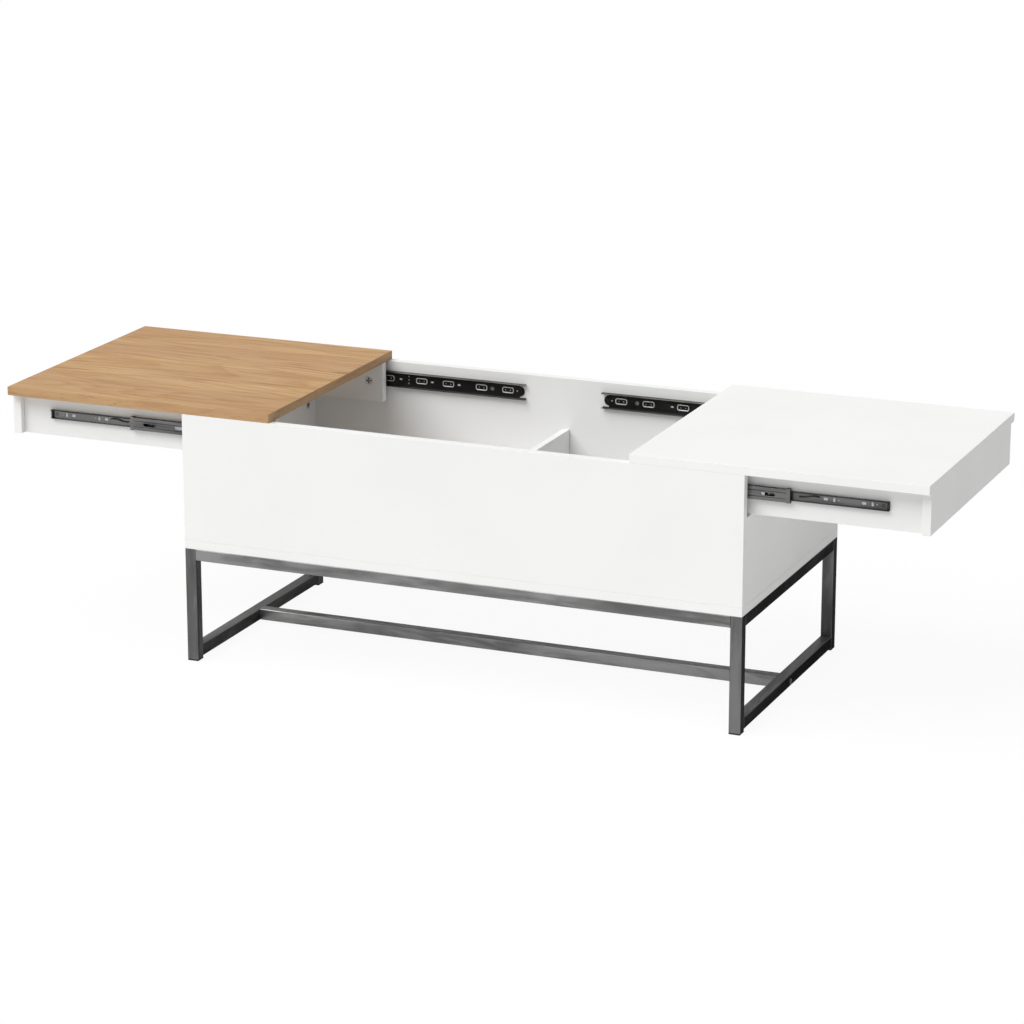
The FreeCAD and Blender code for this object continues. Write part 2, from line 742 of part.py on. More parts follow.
def channel(face, web, tip, height, lip=None):
    """Section of a channel whose web and flange tips lie at depths from the panel, as Y and Z."""
    half = height / 2
    sheet = size.slide_sheet
    if web.value < tip.value:
        inner_web = web + sheet
        lip_root = tip - sheet
    else:
        inner_web = web - sheet
        lip_root = tip + sheet
    upper = [(web, half), (tip, half)]
    if lip is None:
        upper += [(tip, half - sheet)]
    else:
        upper += [(tip, half - lip), (lip_root, half - lip), (lip_root, half - sheet)]
    upper += [(inner_web, half - sheet)]
    lower = [(depth, -rise) for depth, rise in reversed(upper)]
    return [((panel_inner - depth) * face, slide_level + rise) for depth, rise in upper + lower]


def build_fixed_slides():
    """Make the slide channels that are screwed to the inside of the front and back panels."""
    for side, sign in SIDES.items():
        for face, face_sign in FACES.items():
            body = piece_body(f"{side}_{face}_fixed_slide")
            section = channel(face_sign, as_size(0), size.fixed_flange_reach, size.fixed_slide_height,
                              size.fixed_lip)
            add_prism(body, "Channel", "X", *spread(sign, size.fixed_slide_inset, fixed_end), section)
            web = spread(face_sign, panel_inner - size.slide_sheet - size.overrun, panel_inner + size.overrun)
            rings = []
            for middle in fixed_slide_places(sign, RING_SHARES):
                rings += ring_slots(middle)
            cut_prisms(body, "Rings", "Y", *web, rings)
            holes = [(x, slide_level) for x in fixed_slide_places(sign, WEB_HOLE_SHARES)]
            bore(body, "WebHoles", "Y", *web, holes, size.web_hole_diameter)
            dot_place, = fixed_slide_places(sign, (WEB_DOT_SHARE,))
            dots = [(dot_place, slide_level + size.web_dot_pitch * step) for step in (-1, 0, 1)]
            bore(body, "WebDots", "Y", *web, dots, size.web_dot_diameter)
            screws = [(x, slide_level) for x in fixed_slide_places(sign, FIXED_SCREW_SHARES)]
            bore(body, "ScrewHoles", "Y", *web, screws, slide_pilot_diameter)
            seat = panel_inner - size.slide_sheet + size.flush_head_height
            seats = spread(face_sign, panel_inner - size.slide_sheet - size.overrun, seat)
            bore(body, "ScrewSeats", "Y", *seats, screws, size.flush_head_diameter + size.hole_clearance * 2)
            tongue_middle = size.fixed_slide_inset + size.end_tongue_setback + size.end_tongue_diameter / 2
            half_gap = size.fixed_slide_height / 2 - size.slide_sheet
            along = spread(sign, size.fixed_slide_inset - size.overrun, tongue_middle)
            end_cut = rectangle(*along, slide_level - half_gap, slide_level + half_gap)
            cut_prisms(body, "EndCut", "Y", *web, [end_cut])
            sheet = spread(face_sign, panel_inner - size.slide_sheet, panel_inner)
            centre = (tongue_middle * sign, slide_level)
            add_disc(body, "EndTongue", "Y", *sheet, centre, size.end_tongue_diameter)


def ring_slots(middle):
    """Four straight slots that ring a web panel, with a bridge of sheet left at each corner."""
    half_long = size.ring_length / 2
    half_high = size.ring_height / 2
    long_slot = half_long - size.ring_stroke - size.ring_bridge
    short_slot = half_high - size.ring_stroke - size.ring_bridge
    across = (middle - long_slot, middle + long_slot)
    upright = (slide_level - short_slot, slide_level + short_slot)
    slots = []
    for sign in (-1, 1):
        low, high = spread(sign, half_high - size.ring_stroke, half_high)
        slots.append(rectangle(*across, slide_level + low, slide_level + high))
        near, far = spread(sign, half_long - size.ring_stroke, half_long)
        slots.append(rectangle(middle + near, middle + far, *upright))
    return slots


def build_mid_slides():
    """Make the middle members, which roll between the fixed channels and the inner members."""
    for side, sign in SIDES.items():
        shift = extensions[side] * MID_TRAVEL_SHARE * sign
        end = mid_parks[side]
        for face, face_sign in FACES.items():
            body = piece_body(f"{side}_{face}_mid_slide", shift)
            section = channel(face_sign, mid_web, size.mid_flange_reach, mid_height)
            add_prism(body, "Channel", "X", *spread(sign, end - size.mid_slide_length, end), section)
            stop = spread(sign, end - size.mid_stop_length, end)
            for name, up in (("UpperStop", 1), ("LowerStop", -1)):
                rise = spread(up, mid_height / 2 - size.slide_sheet / 2, mid_height / 2 + size.mid_stop_rise)
                heights = (slide_level + rise[0], slide_level + rise[1])
                depths = spread(face_sign, panel_inner - size.mid_flange_reach, panel_inner - mid_web)
                add_prism(body, name, "X", *stop, rectangle(*depths, *heights))
            half_long = size.mid_slot_length / 2
            half_high = size.mid_slot_height / 2
            slots = []
            for share in MID_SLOT_SHARES:
                middle = (end - size.mid_slide_length * share) * sign
                slots.append(rectangle(middle - half_long, middle + half_long,
                                       slide_level - half_high, slide_level + half_high))
            web = spread(face_sign, panel_inner - mid_web - size.slide_sheet - size.overrun, panel_inner)
            cut_prisms(body, "WebSlots", "Y", *web, slots)


def inner_group_places(shares):
    """Distances from the middle of the cabinet of the hole groups on an inner member, tops closed."""
    return [inner_end - size.inner_slide_length * share for share in shares]


def build_inner_slides():
    """Make the inner members, which are screwed to the rails of the tops."""
    for side, sign in SIDES.items():
        for face, face_sign in FACES.items():
            body = piece_body(f"{side}_{face}_inner_slide", extensions[side] * sign)
            tip = size.slide_space - size.inner_flange_depth
            section = channel(face_sign, size.slide_space, tip, inner_height)
            span = spread(sign, inner_end - size.inner_slide_length, inner_end)
            add_prism(body, "Channel", "X", *span, section)
            web = spread(face_sign, rail_outer - size.overrun, rail_outer + size.slide_sheet + size.overrun)
            starts = inner_group_places(INNER_GROUP_SHARES)
            dots = [(start * sign, slide_level) for start in starts]
            bore(body, "WebDots", "Y", *web, dots, size.web_dot_diameter)
            holes = [((start - size.inner_hole_step) * sign, slide_level) for start in starts]
            bore(body, "WebHoles", "Y", *web, holes, size.inner_hole_diameter)
            half_wide = size.inner_oval_width / 2
            half_high = size.inner_oval_height / 2
            ovals = []
            for start in starts:
                middle = (start - size.inner_oval_step) * sign
                ovals.append(rectangle(middle - half_wide, middle + half_wide,
                                       slide_level - half_high, slide_level + half_high))
            cut_prisms(body, "WebOvals", "Y", *web, ovals)


def inner_screw_places():
    """Distances from the middle of the cabinet of the screws in an inner member, tops closed."""
    shares = [INNER_GROUP_SHARES[index] for index in INNER_SCREW_GROUPS]
    return [place - size.inner_hole_step for place in inner_group_places(shares)]


def build_slide_screws():
    """Make the screws that hold the slides to the panels and to the rails."""
    screw = headed("flush_screw", size.slide_screw_diameter,
                   size.slide_screw_grip + size.slide_sheet - size.flush_head_height,
                   size.flush_head_diameter, size.flush_head_height, size.slide_screw_diameter,
                   size.flush_head_height / 2)
    places = []
    for face in FACES.values():
        depth = (panel_inner - size.slide_sheet + size.flush_head_height) * face
        for side in SIDES.values():
            for x in fixed_slide_places(side, FIXED_SCREW_SHARES):
                places.append((facing(("Y", face), ("X", 1)), x, depth, slide_level))
    group("fixed_slide_screws", screw, places)
    pan = headed("pan_screw", size.slide_screw_diameter, size.slide_sheet + size.slide_screw_grip,
                 size.pan_head_diameter, size.pan_head_height, size.slide_screw_diameter,
                 size.pan_head_height / 2)
    for side, sign in SIDES.items():
        places = []
        for face in FACES.values():
            for x in inner_screw_places():
                places.append((facing(("Y", -face), ("X", 1)), (x + extensions[side]) * sign,
                               (rail_outer + size.slide_sheet) * face, slide_level))
        group(f"{side}_slide_screws", pan, places)


def cage(name, shift, side, face, centre, length, web, rise, ball_depth, steps):
    """Make one ball cage: a thin channel along a slide with a hole for each ball in both flanges."""
    body = new_body(name, shift)
    half = size.cage_sheet / 2
    tip = web + size.cage_sheet + size.cage_flange_depth
    inner_web = web + size.cage_sheet
    upper = [(web, rise + half), (tip, rise + half), (tip, rise - half), (inner_web, rise - half)]
    lower = [(depth, -height) for depth, height in reversed(upper)]
    section = [((panel_inner - depth) * face, slide_level + height) for depth, height in upper + lower]
    add_prism(body, "Channel", "X", *spread(side, centre - length / 2, centre + length / 2), section)
    holes = [((centre + size.ball_pitch * step) * side, (panel_inner - ball_depth) * face) for step in steps]
    reach = rise + size.overrun
    bore(body, "BallHoles", "Z", slide_level - reach, slide_level + reach, holes,
         size.ball_diameter + size.cage_hole_clearance)
    return body


def build_cages():
    """Make the ball cages and balls that run between the slide members."""
    ball = document.addObject("Part::Sphere", "slide_ball")
    bind(ball, "Radius", size.ball_diameter / 2)
    rows = (
        ("outer", OUTER_TRAVEL_SHARE, size.outer_cage_park, size.outer_cage_length,
         size.slide_sheet + size.cage_web_clearance, mid_height / 2 + size.ball_gap / 2, OUTER_BALL_STEPS),
        ("inner", INNER_TRAVEL_SHARE, size.inner_cage_park, size.inner_cage_length,
         mid_web + size.slide_sheet + size.cage_web_clearance, inner_height / 2 + size.ball_gap / 2,
         INNER_BALL_STEPS),
    )
    for name, travel_share, park, length, web, rise, steps in rows:
        ball_depth = web + size.cage_sheet + size.cage_flange_depth - size.ball_setback
        for side, sign in SIDES.items():
            shift = extensions[side] * travel_share
            cages = []
            balls = []
            for face, face_sign in FACES.items():
                cages.append(cage(f"{side}_{face}_{name}_cage", shift * sign, sign, face_sign, park, length,
                                  web, rise, ball_depth, steps))
                for step in steps:
                    for up in (-1, 1):
                        balls.append((FreeCAD.Rotation(), (park + shift + size.ball_pitch * step) * sign,
                                      (panel_inner - ball_depth) * face_sign, slide_level + rise * up))
            gather(f"{side}_{name}_cages", cages)
            group(f"{side}_{name}_balls", ball, balls)


def rail_cam_places():
    """Distances from the middle of the cabinet of the cams that pull the rails up to a top, tops closed."""
    return (size.meeting_clearance + size.inner_cam_inset, apron_inner - size.outer_cam_inset)


def build_tops():
    """Make the two sliding tops: a board on two rails and an apron, joined by cams."""
    rail_middle = rail_outer - size.rail_thickness / 2
    cam_level = panel_top - size.rail_cam_setback
    apron_cam_level = rail_base + size.apron_cam_rise
    apron_cam_place = apron_inner - size.rail_cam_setback
    apron_half_depth = panel_inner - size.apron_clearance
    cam = cam_lock("rail_cam")
    bolt = cam_bolt("rail_cam_bolt", size.rail_cam_setback)
    for side, sign in SIDES.items():
        shift = extensions[side] * sign
        top = board(f"{side}_top_board", spread(sign, size.meeting_clearance, top_end),
                    spread_both(half_depth), (panel_top, panel_top + size.top_thickness), shift)
        bolts_up = [(x * sign, rail_middle * face) for x in rail_cam_places() for face in FACES.values()]
        bore(top, "CamBoltHoles", "Z", panel_top - size.overrun, panel_top + cam_thread_depth, bolts_up,
             cam_thread_diameter)
        apron = board(f"{side}_apron", spread(sign, apron_inner, apron_outer), spread_both(apron_half_depth),
                      (rail_base, panel_top), shift)
        bolts_out = [(rail_middle * face, apron_cam_level) for face in FACES.values()]
        span = spread(sign, apron_inner - size.overrun, apron_inner + cam_thread_depth)
        bore(apron, "CamBoltHoles", "X", *span, bolts_out, cam_thread_diameter)
        cams = []
        bolts = []
        for face, face_sign in FACES.items():
            rail = board(f"{side}_{face}_top_rail", spread(sign, size.meeting_clearance, apron_inner),
                         spread(face_sign, rail_inner, rail_outer), (rail_base, panel_top), shift)
            pockets = [(x * sign, cam_level) for x in rail_cam_places()]
            pockets.append((apron_cam_place * sign, apron_cam_level))
            pocket_span = spread(face_sign, rail_inner - size.overrun, rail_inner + cam_pocket_depth)
            bore(rail, "CamPockets", "Y", *pocket_span, pockets, cam_pocket_diameter)
            channels = [(x * sign, rail_middle * face_sign) for x in rail_cam_places()]
            above = panel_top + size.overrun
            bore(rail, "UprightChannels", "Z", cam_level, above, channels, cam_channel_diameter)
            bore(rail, "ApronChannel", "X", *spread(sign, apron_cam_place, apron_inner + size.overrun),
                 [(rail_middle * face_sign, apron_cam_level)], cam_channel_diameter)
            screws = [(x * sign, slide_level) for x in inner_screw_places()]
            depth = spread(face_sign, rail_outer - size.slide_screw_grip - size.hole_clearance,
                           rail_outer + size.overrun)
            bore(rail, "SlidePilots", "Y", *depth, screws, slide_pilot_diameter)
            cam_depth = rail_inner * face_sign
            bolt_depth = rail_middle * face_sign
            for place_along in rail_cam_places():
                x = place_along * sign + shift
                cams.append((facing(("Y", face_sign), ("Z", 1)), x, cam_depth, cam_level))
                bolts.append((facing(("Z", 1), ("X", 1)), x, bolt_depth, cam_level))
            x = apron_cam_place * sign + shift
            cams.append((facing(("Y", face_sign), ("X", sign)), x, cam_depth, apron_cam_level))
            bolts.append((facing(("X", sign), ("Z", 1)), x, bolt_depth, apron_cam_level))
        group(f"{side}_cam_locks", cam, cams)
        group(f"{side}_cam_bolts", bolt, bolts)


def check_document():
    """Stop if any object failed, any cut removed nothing, or any piece is not a sound solid."""
    for item in document.Objects:
        if "Invalid" in item.State or "Error" in item.State:
            raise RuntimeError(f"{item.Label} failed: {item.State}")
        if item.TypeId == "PartDesign::Pocket" and item.Shape.Volume >= item.BaseFeature.Shape.Volume:
            raise RuntimeError(f"{item.Label} cuts nothing")
    for piece in pieces:
        if piece.Shape.isNull() or not piece.Shape.isValid():
            raise RuntimeError(f"{piece.Label} is not a valid solid")


def write_pieces():
    """Write each piece to a file of its own."""
    os.makedirs("parts", exist_ok=True)
    for piece in pieces:
        piece.Shape.exportStep(os.path.join("parts", f"{piece.Label}.step"))
        print(f"{piece.Label}: {len(piece.Shape.Solids)} solids, {piece.Shape.Volume:.0f} cubic millimetres")


build_carcass()
build_legs()
build_rails()
build_frame_hardware()
build_fixed_slides()
build_mid_slides()
build_inner_slides()
build_slide_screws()
build_cages()
build_tops()
document.recompute()
check_document()
write_pieces()
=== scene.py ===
"""Looks of the extending coffee table: coated boards, gunmetal tube frame and zinc ball slides."""

import logging
import math
from dataclasses import dataclass, field
from enum import Enum, IntEnum
from typing import Any, Callable, Iterable, Mapping

import bmesh
import bpy
from mathutils import Matrix, Vector

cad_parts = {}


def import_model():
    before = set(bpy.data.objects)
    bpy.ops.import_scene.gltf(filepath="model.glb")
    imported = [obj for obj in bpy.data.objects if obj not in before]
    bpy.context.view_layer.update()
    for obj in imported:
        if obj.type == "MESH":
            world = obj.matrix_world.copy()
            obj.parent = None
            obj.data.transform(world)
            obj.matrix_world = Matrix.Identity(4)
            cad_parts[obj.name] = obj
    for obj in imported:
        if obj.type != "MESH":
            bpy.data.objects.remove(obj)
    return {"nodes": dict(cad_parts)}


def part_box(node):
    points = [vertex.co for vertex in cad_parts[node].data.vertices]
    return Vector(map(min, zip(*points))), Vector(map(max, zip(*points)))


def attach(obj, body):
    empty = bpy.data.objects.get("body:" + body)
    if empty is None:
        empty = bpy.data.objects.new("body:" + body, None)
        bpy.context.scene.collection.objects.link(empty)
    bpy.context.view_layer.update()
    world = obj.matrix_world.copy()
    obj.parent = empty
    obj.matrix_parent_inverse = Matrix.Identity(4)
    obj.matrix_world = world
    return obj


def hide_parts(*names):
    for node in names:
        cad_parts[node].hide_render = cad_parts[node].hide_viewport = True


log = logging.getLogger("coffee_table")

Colour = tuple[float, float, float, float]
Inputs = dict[str, Any]
Material = bpy.types.Material
Places = tuple[float, ...]
Profile = tuple[tuple[float, float], ...]
Socket = bpy.types.NodeSocket
Sockets = Mapping[str, bpy.types.NodeSocket]
Span = tuple[float, float]

# Places nearer to each other than this, in metres, count as one.
SAME_PLACE = 1e-6
# Points nearer to a cut than this, in metres, lie on it.
CUT_REACH = 1e-7
# Edges that turn by more than this stay sharp.
SHARP_ANGLE = math.radians(32.0)
# Radius to which the shaders ease sharp edges, in metres.
EDGE_EASING = 0.0006
# Rays that find an edge, and rays that find nearby surfaces for the painted shade in recesses.
EDGE_SAMPLES, PAINTED_SHADE_SAMPLES = 4, 8
# Edges of a round hole, of a slot and of a long slot or ring.
ROUND_STEPS, SLOT_STEPS, LONG_STEPS = 12, 16, 24
# Share of a raised ring's width that each of its slopes takes.
BEAD_SLOPE = 0.25


class Axis(Enum):
    """Axis that drawn metal runs along, as the turn that brings it to X."""

    X = (0.0, 0.0, 0.0)
    Y = (0.0, 0.0, -math.pi / 2)
    Z = (0.0, math.pi / 2, 0.0)


class Half(Enum):
    """Half of the table, as its name in the frame and the sign of its places."""

    @property
    def word(self) -> str:
        """Name of the half in the frame."""
        return self.value[0]

    @property
    def sign(self) -> int:
        """Sign of the places on this half."""
        return self.value[1]


class Side(Half):
    """Left or right half, with the sign of X there."""

    LEFT = ("left", -1)
    RIGHT = ("right", 1)


class Face(Half):
    """Front or rear half, with the sign of Y there."""

    FRONT = ("front", -1)
    REAR = ("rear", 1)


class Outlook(IntEnum):
    """Way that the outer face of a rolled web looks, as a sign of depth."""

    TO_PANEL = -1
    FROM_PANEL = 1


class Coat(IntEnum):
    """Material numbers on a rolled member, whose web has 0: the lighter lips of a channel, the dark races of
    a running member, which are painted shade, with its rivet rim, and the raised rings.
    """

    TRIM = 1
    RING = 2


def grey(level: float) -> Colour:
    """Neutral colour of one level."""
    return (level, level, level, 1.0)


@dataclass(frozen=True)
class Pattern:
    """A noise stretched along X: its scales along and across, and its make."""

    along: float
    across: float
    detail: float
    roughness: float = 0.5
    distortion: float = 0.0


class Graph:
    """A shader node tree with short ways to add nodes and join them."""

    def __init__(self, tree: bpy.types.NodeTree) -> None:
        """Keep the tree and clear what it starts with."""
        self.tree = tree
        self.tree.nodes.clear()

    def add(self, kind: str, inputs: Inputs | None = None, **options: Any) -> bpy.types.Node:
        """Add a node, set its options and fill its inputs.

        Args:
            kind: Blender's type name of the node, without its ShaderNode start.
            inputs: values or sockets by input name or number.
            options: properties of the node itself.

        Returns:
            The new node.
        """
        node = self.tree.nodes.new(f"ShaderNode{kind}")
        for name, value in options.items():
            setattr(node, name, value)
        for name, value in (inputs or {}).items():
            self.fill(node.inputs[name], value)
        return node

    def fill(self, socket: Socket, value: Any) -> None:
        """Join a socket to another one, or give it a constant value.

        Args:
            socket: input to fill.
            value: other socket or constant.
        """
        if isinstance(value, Socket):
            self.tree.links.new(value, socket)
        else:
            socket.default_value = value

    def math(self, operation: str, *values: Any) -> Socket:
        """Work out one number from others and return its socket."""
        node = self.add("Math", dict(enumerate(values)), operation=operation)
        return node.outputs[0]

    def span(self, value: Any, low: float, high: float, start: float = 0.0,
             end: float = 1.0) -> Socket:
        """Map a value smoothly from one span to another.

        Args:
            value: socket to map.
            low: value that gives start.
            high: value that gives end.
            start: result at low.
            end: result at high.

        Returns:
            The socket of the mapped value.
        """
        inputs = {"Value": value, "From Min": low, "From Max": high, "To Min": start, "To Max": end}
        return self.add("MapRange", inputs, interpolation_type="SMOOTHSTEP").outputs["Result"]

    def blend(self, share: Any, first: Any, second: Any) -> Socket:
        """Mix two colours.

        Args:
            share: share of the second colour.
            first: colour or socket.
            second: colour or socket.

        Returns:
            The socket of the mixed colour.
        """
        node = self.add("Mix", data_type="RGBA")
        self.fill(node.inputs["Factor"], share)
        colours = [socket for socket in node.inputs if socket.type == "RGBA"]
        self.fill(colours[0], first)
        self.fill(colours[1], second)
        return next(socket for socket in node.outputs if socket.type == "RGBA")

    def tint(self, colour: Any, mask: Socket, share: float, second: Colour) -> Socket:
        """Blend a colour towards a second one by a share of a mask."""
        return self.blend(self.math("MULTIPLY", mask, share), colour, second)

    def noise(self, vector: Any, scale: Any, detail: float, roughness: float,
              distortion: float = 0.0) -> Socket:
        """Add a noise texture.

        Args:
            vector: socket of its coordinates.
            scale: number or socket.
            detail: number of finer layers.
            roughness: strength of the finer layers.
            distortion: how far the noise bends.

        Returns:
            The socket of its value.
        """
        inputs = {"Vector": vector, "Scale": scale, "Detail": detail, "Roughness": roughness,
                  "Distortion": distortion}
        return self.add("TexNoise", inputs).outputs["Fac"]

    def pattern(self, vector: Any, make: Pattern) -> Socket:
        """Add a stretched noise and return the socket of its value."""
        scaled = self.stretch(vector, (make.along, make.across, make.across))
        return self.noise(scaled, 1.0, make.detail, make.roughness, make.distortion)

    def stretch(self, vector: Any, scale: Places = (1.0, 1.0, 1.0), place: Places = (0.0, 0.0, 0.0),
                turn: Places = (0.0, 0.0, 0.0)) -> Socket:
        """Shift, turn and scale texture coordinates and return their socket."""
        inputs = {"Vector": vector, "Location": place, "Rotation": turn, "Scale": scale}
        return self.add("Mapping", inputs).outputs["Vector"]


class Effect(Enum):
    """Shader groups that finishes share, with the number that a group takes beside its place."""

    GRAIN = ("wood_grain", None)
    MOTTLE = ("soft_mottle", "Scale")
    BRUSH = ("drawn_streaks", None)
    WEAR = ("worn_edges", "Radius")
    DUST = ("top_light_and_dust_tone_dust", None)


@dataclass(frozen=True)
class WoodFigure:
    """Scales, spans and strengths of a long wood figure."""

    broad: Pattern = Pattern(1.7, 11.0, 3.0, 0.5, 0.5)
    broad_mask: Span = (0.3, 0.7)
    warp: Pattern = Pattern(3.4, 9.0, 2.0)
    warp_reach: float = 0.035
    eyes: Places = (3.6, 12.0, 12.0)
    eye_chance: Span = (0.55, 0.6)
    eye_reach: Span = (0.0, 0.4)
    eye_core: Span = (0.02, 0.11)
    eye_bend: float = 0.014
    lines: Pattern = Pattern(3.4, 70.0, 6.0, 0.68)
    line_mask: Span = (0.38, 0.62)
    line_share: float = 0.65
    line_jitter: float = 0.55
    zones: Pattern = Pattern(1.25, 7.5, 1.0, 0.5, 0.15)
    zone_rings: float = 15.0
    flame_mask: Span = (0.35, 1.0)
    flame_share: float = 0.5
    dashes: Pattern = Pattern(7.5, 140.0, 4.0, 0.62)
    dash_mask: Span = (0.54, 0.7)
    groups: Pattern = Pattern(2.6, 16.0, 2.0, 0.5, 0.4)
    group_mask: Span = (0.36, 0.6)
    group_least: float = 0.35
    fibre: Pattern = Pattern(14.0, 520.0, 2.0)
    pores: Pattern = Pattern(34.0, 900.0, 1.0)
    pore_mask: Span = (0.62, 0.72)
    pore_height: float = -0.8


@dataclass
class EffectLibrary:
    """Builds each shared shader group once and places it in materials."""

    figure: WoodFigure = WoodFigure()
    cloud_make: Span = (3.0, 0.5)
    cloud_mask: Span = (0.3, 0.7)
    fine_factor: float = 160.0
    fine_make: Span = (2.0, 0.6)
    bands: Pattern = Pattern(5.0, 34.0, 3.0, 0.6, 0.8)
    band_mask: Span = (0.32, 0.68)
    hairlines: Pattern = Pattern(9.0, 900.0, 3.0, 0.6)
    grit_scale: float = 2600.0
    grit_make: Span = (2.0, 0.5)
    grit_share: float = 0.5
    edge_turn: Span = (0.01, 0.2)
    wear_scale: float = 60.0
    wear_make: Span = (4.0, 0.65)
    wear_mask: Span = (0.35, 0.7)
    upward_mask: Span = (0.6, 1.0)
    dust_scale: float = 9.0
    dust_make: Span = (6.0, 0.7)
    dust_mask: Span = (0.45, 0.75)
    trees: dict[Effect, bpy.types.NodeTree] = field(default_factory=dict)

    def place(self, graph: Graph, effect: Effect, vector: Socket, number: float | None = None) -> Sockets:
        """Put a shared group into a material.

        Args:
            graph: node tree of the material.
            effect: group to place.
            vector: socket of the coordinates.
            number: value of the group's own number, where it takes one.

        Returns:
            The group's outputs by name.
        """
        if effect not in self.trees:
            self.trees[effect] = self.build(effect)
        node = graph.add("Group", {"Vector": vector}, node_tree=self.trees[effect])
        if number is not None:
            node.inputs[effect.value[1]].default_value = number
        return node.outputs

    def build(self, effect: Effect) -> bpy.types.NodeTree:
        """Make a group.

        Args:
            effect: group to make.

        Returns:
            The group's node tree, with its sockets joined.
        """
        makers: dict[Effect, Callable[[Graph, Sockets], dict[str, Socket]]] = {
            Effect.GRAIN: self.draw_grain, Effect.MOTTLE: self.draw_mottle, Effect.BRUSH: self.draw_brush,
            Effect.WEAR: self.draw_wear, Effect.DUST: self.draw_dust}
        word, number = effect.value
        tree = bpy.data.node_groups.new(word, "ShaderNodeTree")
        tree.interface.new_socket("Vector", in_out="INPUT", socket_type="NodeSocketVector")
        if number:
            tree.interface.new_socket(number, in_out="INPUT", socket_type="NodeSocketFloat")
        graph = Graph(tree)
        drawn = makers[effect](graph, tree.nodes.new("NodeGroupInput").outputs)
        for label in drawn:
            tree.interface.new_socket(label, in_out="OUTPUT", socket_type="NodeSocketFloat")
        target = tree.nodes.new("NodeGroupOutput")
        for label, socket in drawn.items():
            graph.fill(target.inputs[label], socket)
        return tree

    def draw_grain(self, graph: Graph, given: Sockets) -> dict[str, Socket]:
        """Draw a long wood figure along X: broad tone, growth lines, dark dashes, knots and pores.

        Args:
            graph: node tree of the group.
            given: the group's inputs.

        Returns:
            The group's outputs.
        """
        sizes, vector = self.figure, given["Vector"]
        parts = graph.add("SeparateXYZ", {"Vector": vector}).outputs
        warp = graph.pattern(vector, sizes.warp)
        across = graph.math("MULTIPLY_ADD", warp, sizes.warp_reach, parts["Y"])
        eyes = graph.add("TexVoronoi", {"Vector": graph.stretch(vector, sizes.eyes), "Scale": 1.0}).outputs
        chance = graph.add("SeparateColor", {"Color": eyes["Color"]}).outputs["Red"]
        chosen = graph.span(chance, *sizes.eye_chance)
        near = graph.math("MULTIPLY", chosen, graph.span(eyes["Distance"], *sizes.eye_reach, 1.0, 0.0))
        bent = graph.math("MULTIPLY_ADD", near, sizes.eye_bend, across)
        flow = graph.add("CombineXYZ", {"X": parts["X"], "Y": bent, "Z": parts["Z"]}).outputs["Vector"]
        lines = graph.pattern(flow, sizes.lines)
        zones = graph.math("MULTIPLY", graph.pattern(flow, sizes.zones), sizes.zone_rings)
        growth = graph.math("MULTIPLY_ADD", lines, sizes.line_jitter, zones)
        flame = graph.span(graph.math("FRACT", growth), *sizes.flame_mask)
        strands = graph.math("MULTIPLY", graph.span(lines, *sizes.line_mask), sizes.line_share)
        dashes = graph.span(graph.pattern(flow, sizes.dashes), *sizes.dash_mask)
        groups = graph.span(graph.pattern(vector, sizes.groups), *sizes.group_mask, sizes.group_least)
        pores = graph.span(graph.pattern(flow, sizes.pores), *sizes.pore_mask)
        core = graph.span(eyes["Distance"], *sizes.eye_core, 1.0, 0.0)
        fibre = graph.pattern(flow, sizes.fibre)
        return {
            "Tone": graph.span(graph.pattern(vector, sizes.broad), *sizes.broad_mask),
            "Lines": graph.math("MULTIPLY_ADD", flame, sizes.flame_share, strands),
            "Streaks": graph.math("MULTIPLY", dashes, groups),
            "Knots": graph.math("MULTIPLY", chosen, core),
            "Pores": pores,
            "Height": graph.math("MULTIPLY_ADD", pores, sizes.pore_height, fibre),
        }

    def draw_mottle(self, graph: Graph, given: Sockets) -> dict[str, Socket]:
        """Draw soft clouds and a fine even texture, for coatings and castings.

        Args:
            graph: node tree of the group.
            given: the group's inputs.

        Returns:
            The group's outputs.
        """
        vector, scale = given["Vector"], given["Scale"]
        cloud = graph.noise(vector, scale, *self.cloud_make)
        fine = graph.noise(vector, graph.math("MULTIPLY", scale, self.fine_factor), *self.fine_make)
        return {"Cloud": graph.span(cloud, *self.cloud_mask), "Fine": fine}

    def draw_brush(self, graph: Graph, given: Sockets) -> dict[str, Socket]:
        """Draw streaks along X, from rolling and drawing the metal: broad bands and hairlines.

        Args:
            graph: node tree of the group.
            given: the group's inputs.

        Returns:
            The group's outputs.
        """
        vector = given["Vector"]
        bands = graph.span(graph.pattern(vector, self.bands), *self.band_mask)
        hair = graph.pattern(vector, self.hairlines)
        grit = graph.noise(vector, self.grit_scale, *self.grit_make)
        height = graph.math("MULTIPLY_ADD", grit, self.grit_share, hair)
        return {"Bands": bands, "Hairlines": hair, "Height": height}

    def draw_wear(self, graph: Graph, given: Sockets) -> dict[str, Socket]:
        """Mask the edges, broken up so that they look handled and not outlined.

        Args:
            graph: node tree of the group.
            given: the group's inputs.

        Returns:
            The group's outputs.
        """
        rounded = graph.add("Bevel", {"Radius": given["Radius"]}, samples=EDGE_SAMPLES)
        surface = graph.add("NewGeometry")
        turn = graph.add("VectorMath", {0: rounded.outputs["Normal"], 1: surface.outputs["Normal"]},
                         operation="DOT_PRODUCT")
        edge = graph.span(graph.math("SUBTRACT", 1.0, turn.outputs["Value"]), *self.edge_turn)
        patches = graph.noise(given["Vector"], self.wear_scale, *self.wear_make)
        return {"Mask": graph.math("MULTIPLY", edge, graph.span(patches, *self.wear_mask))}

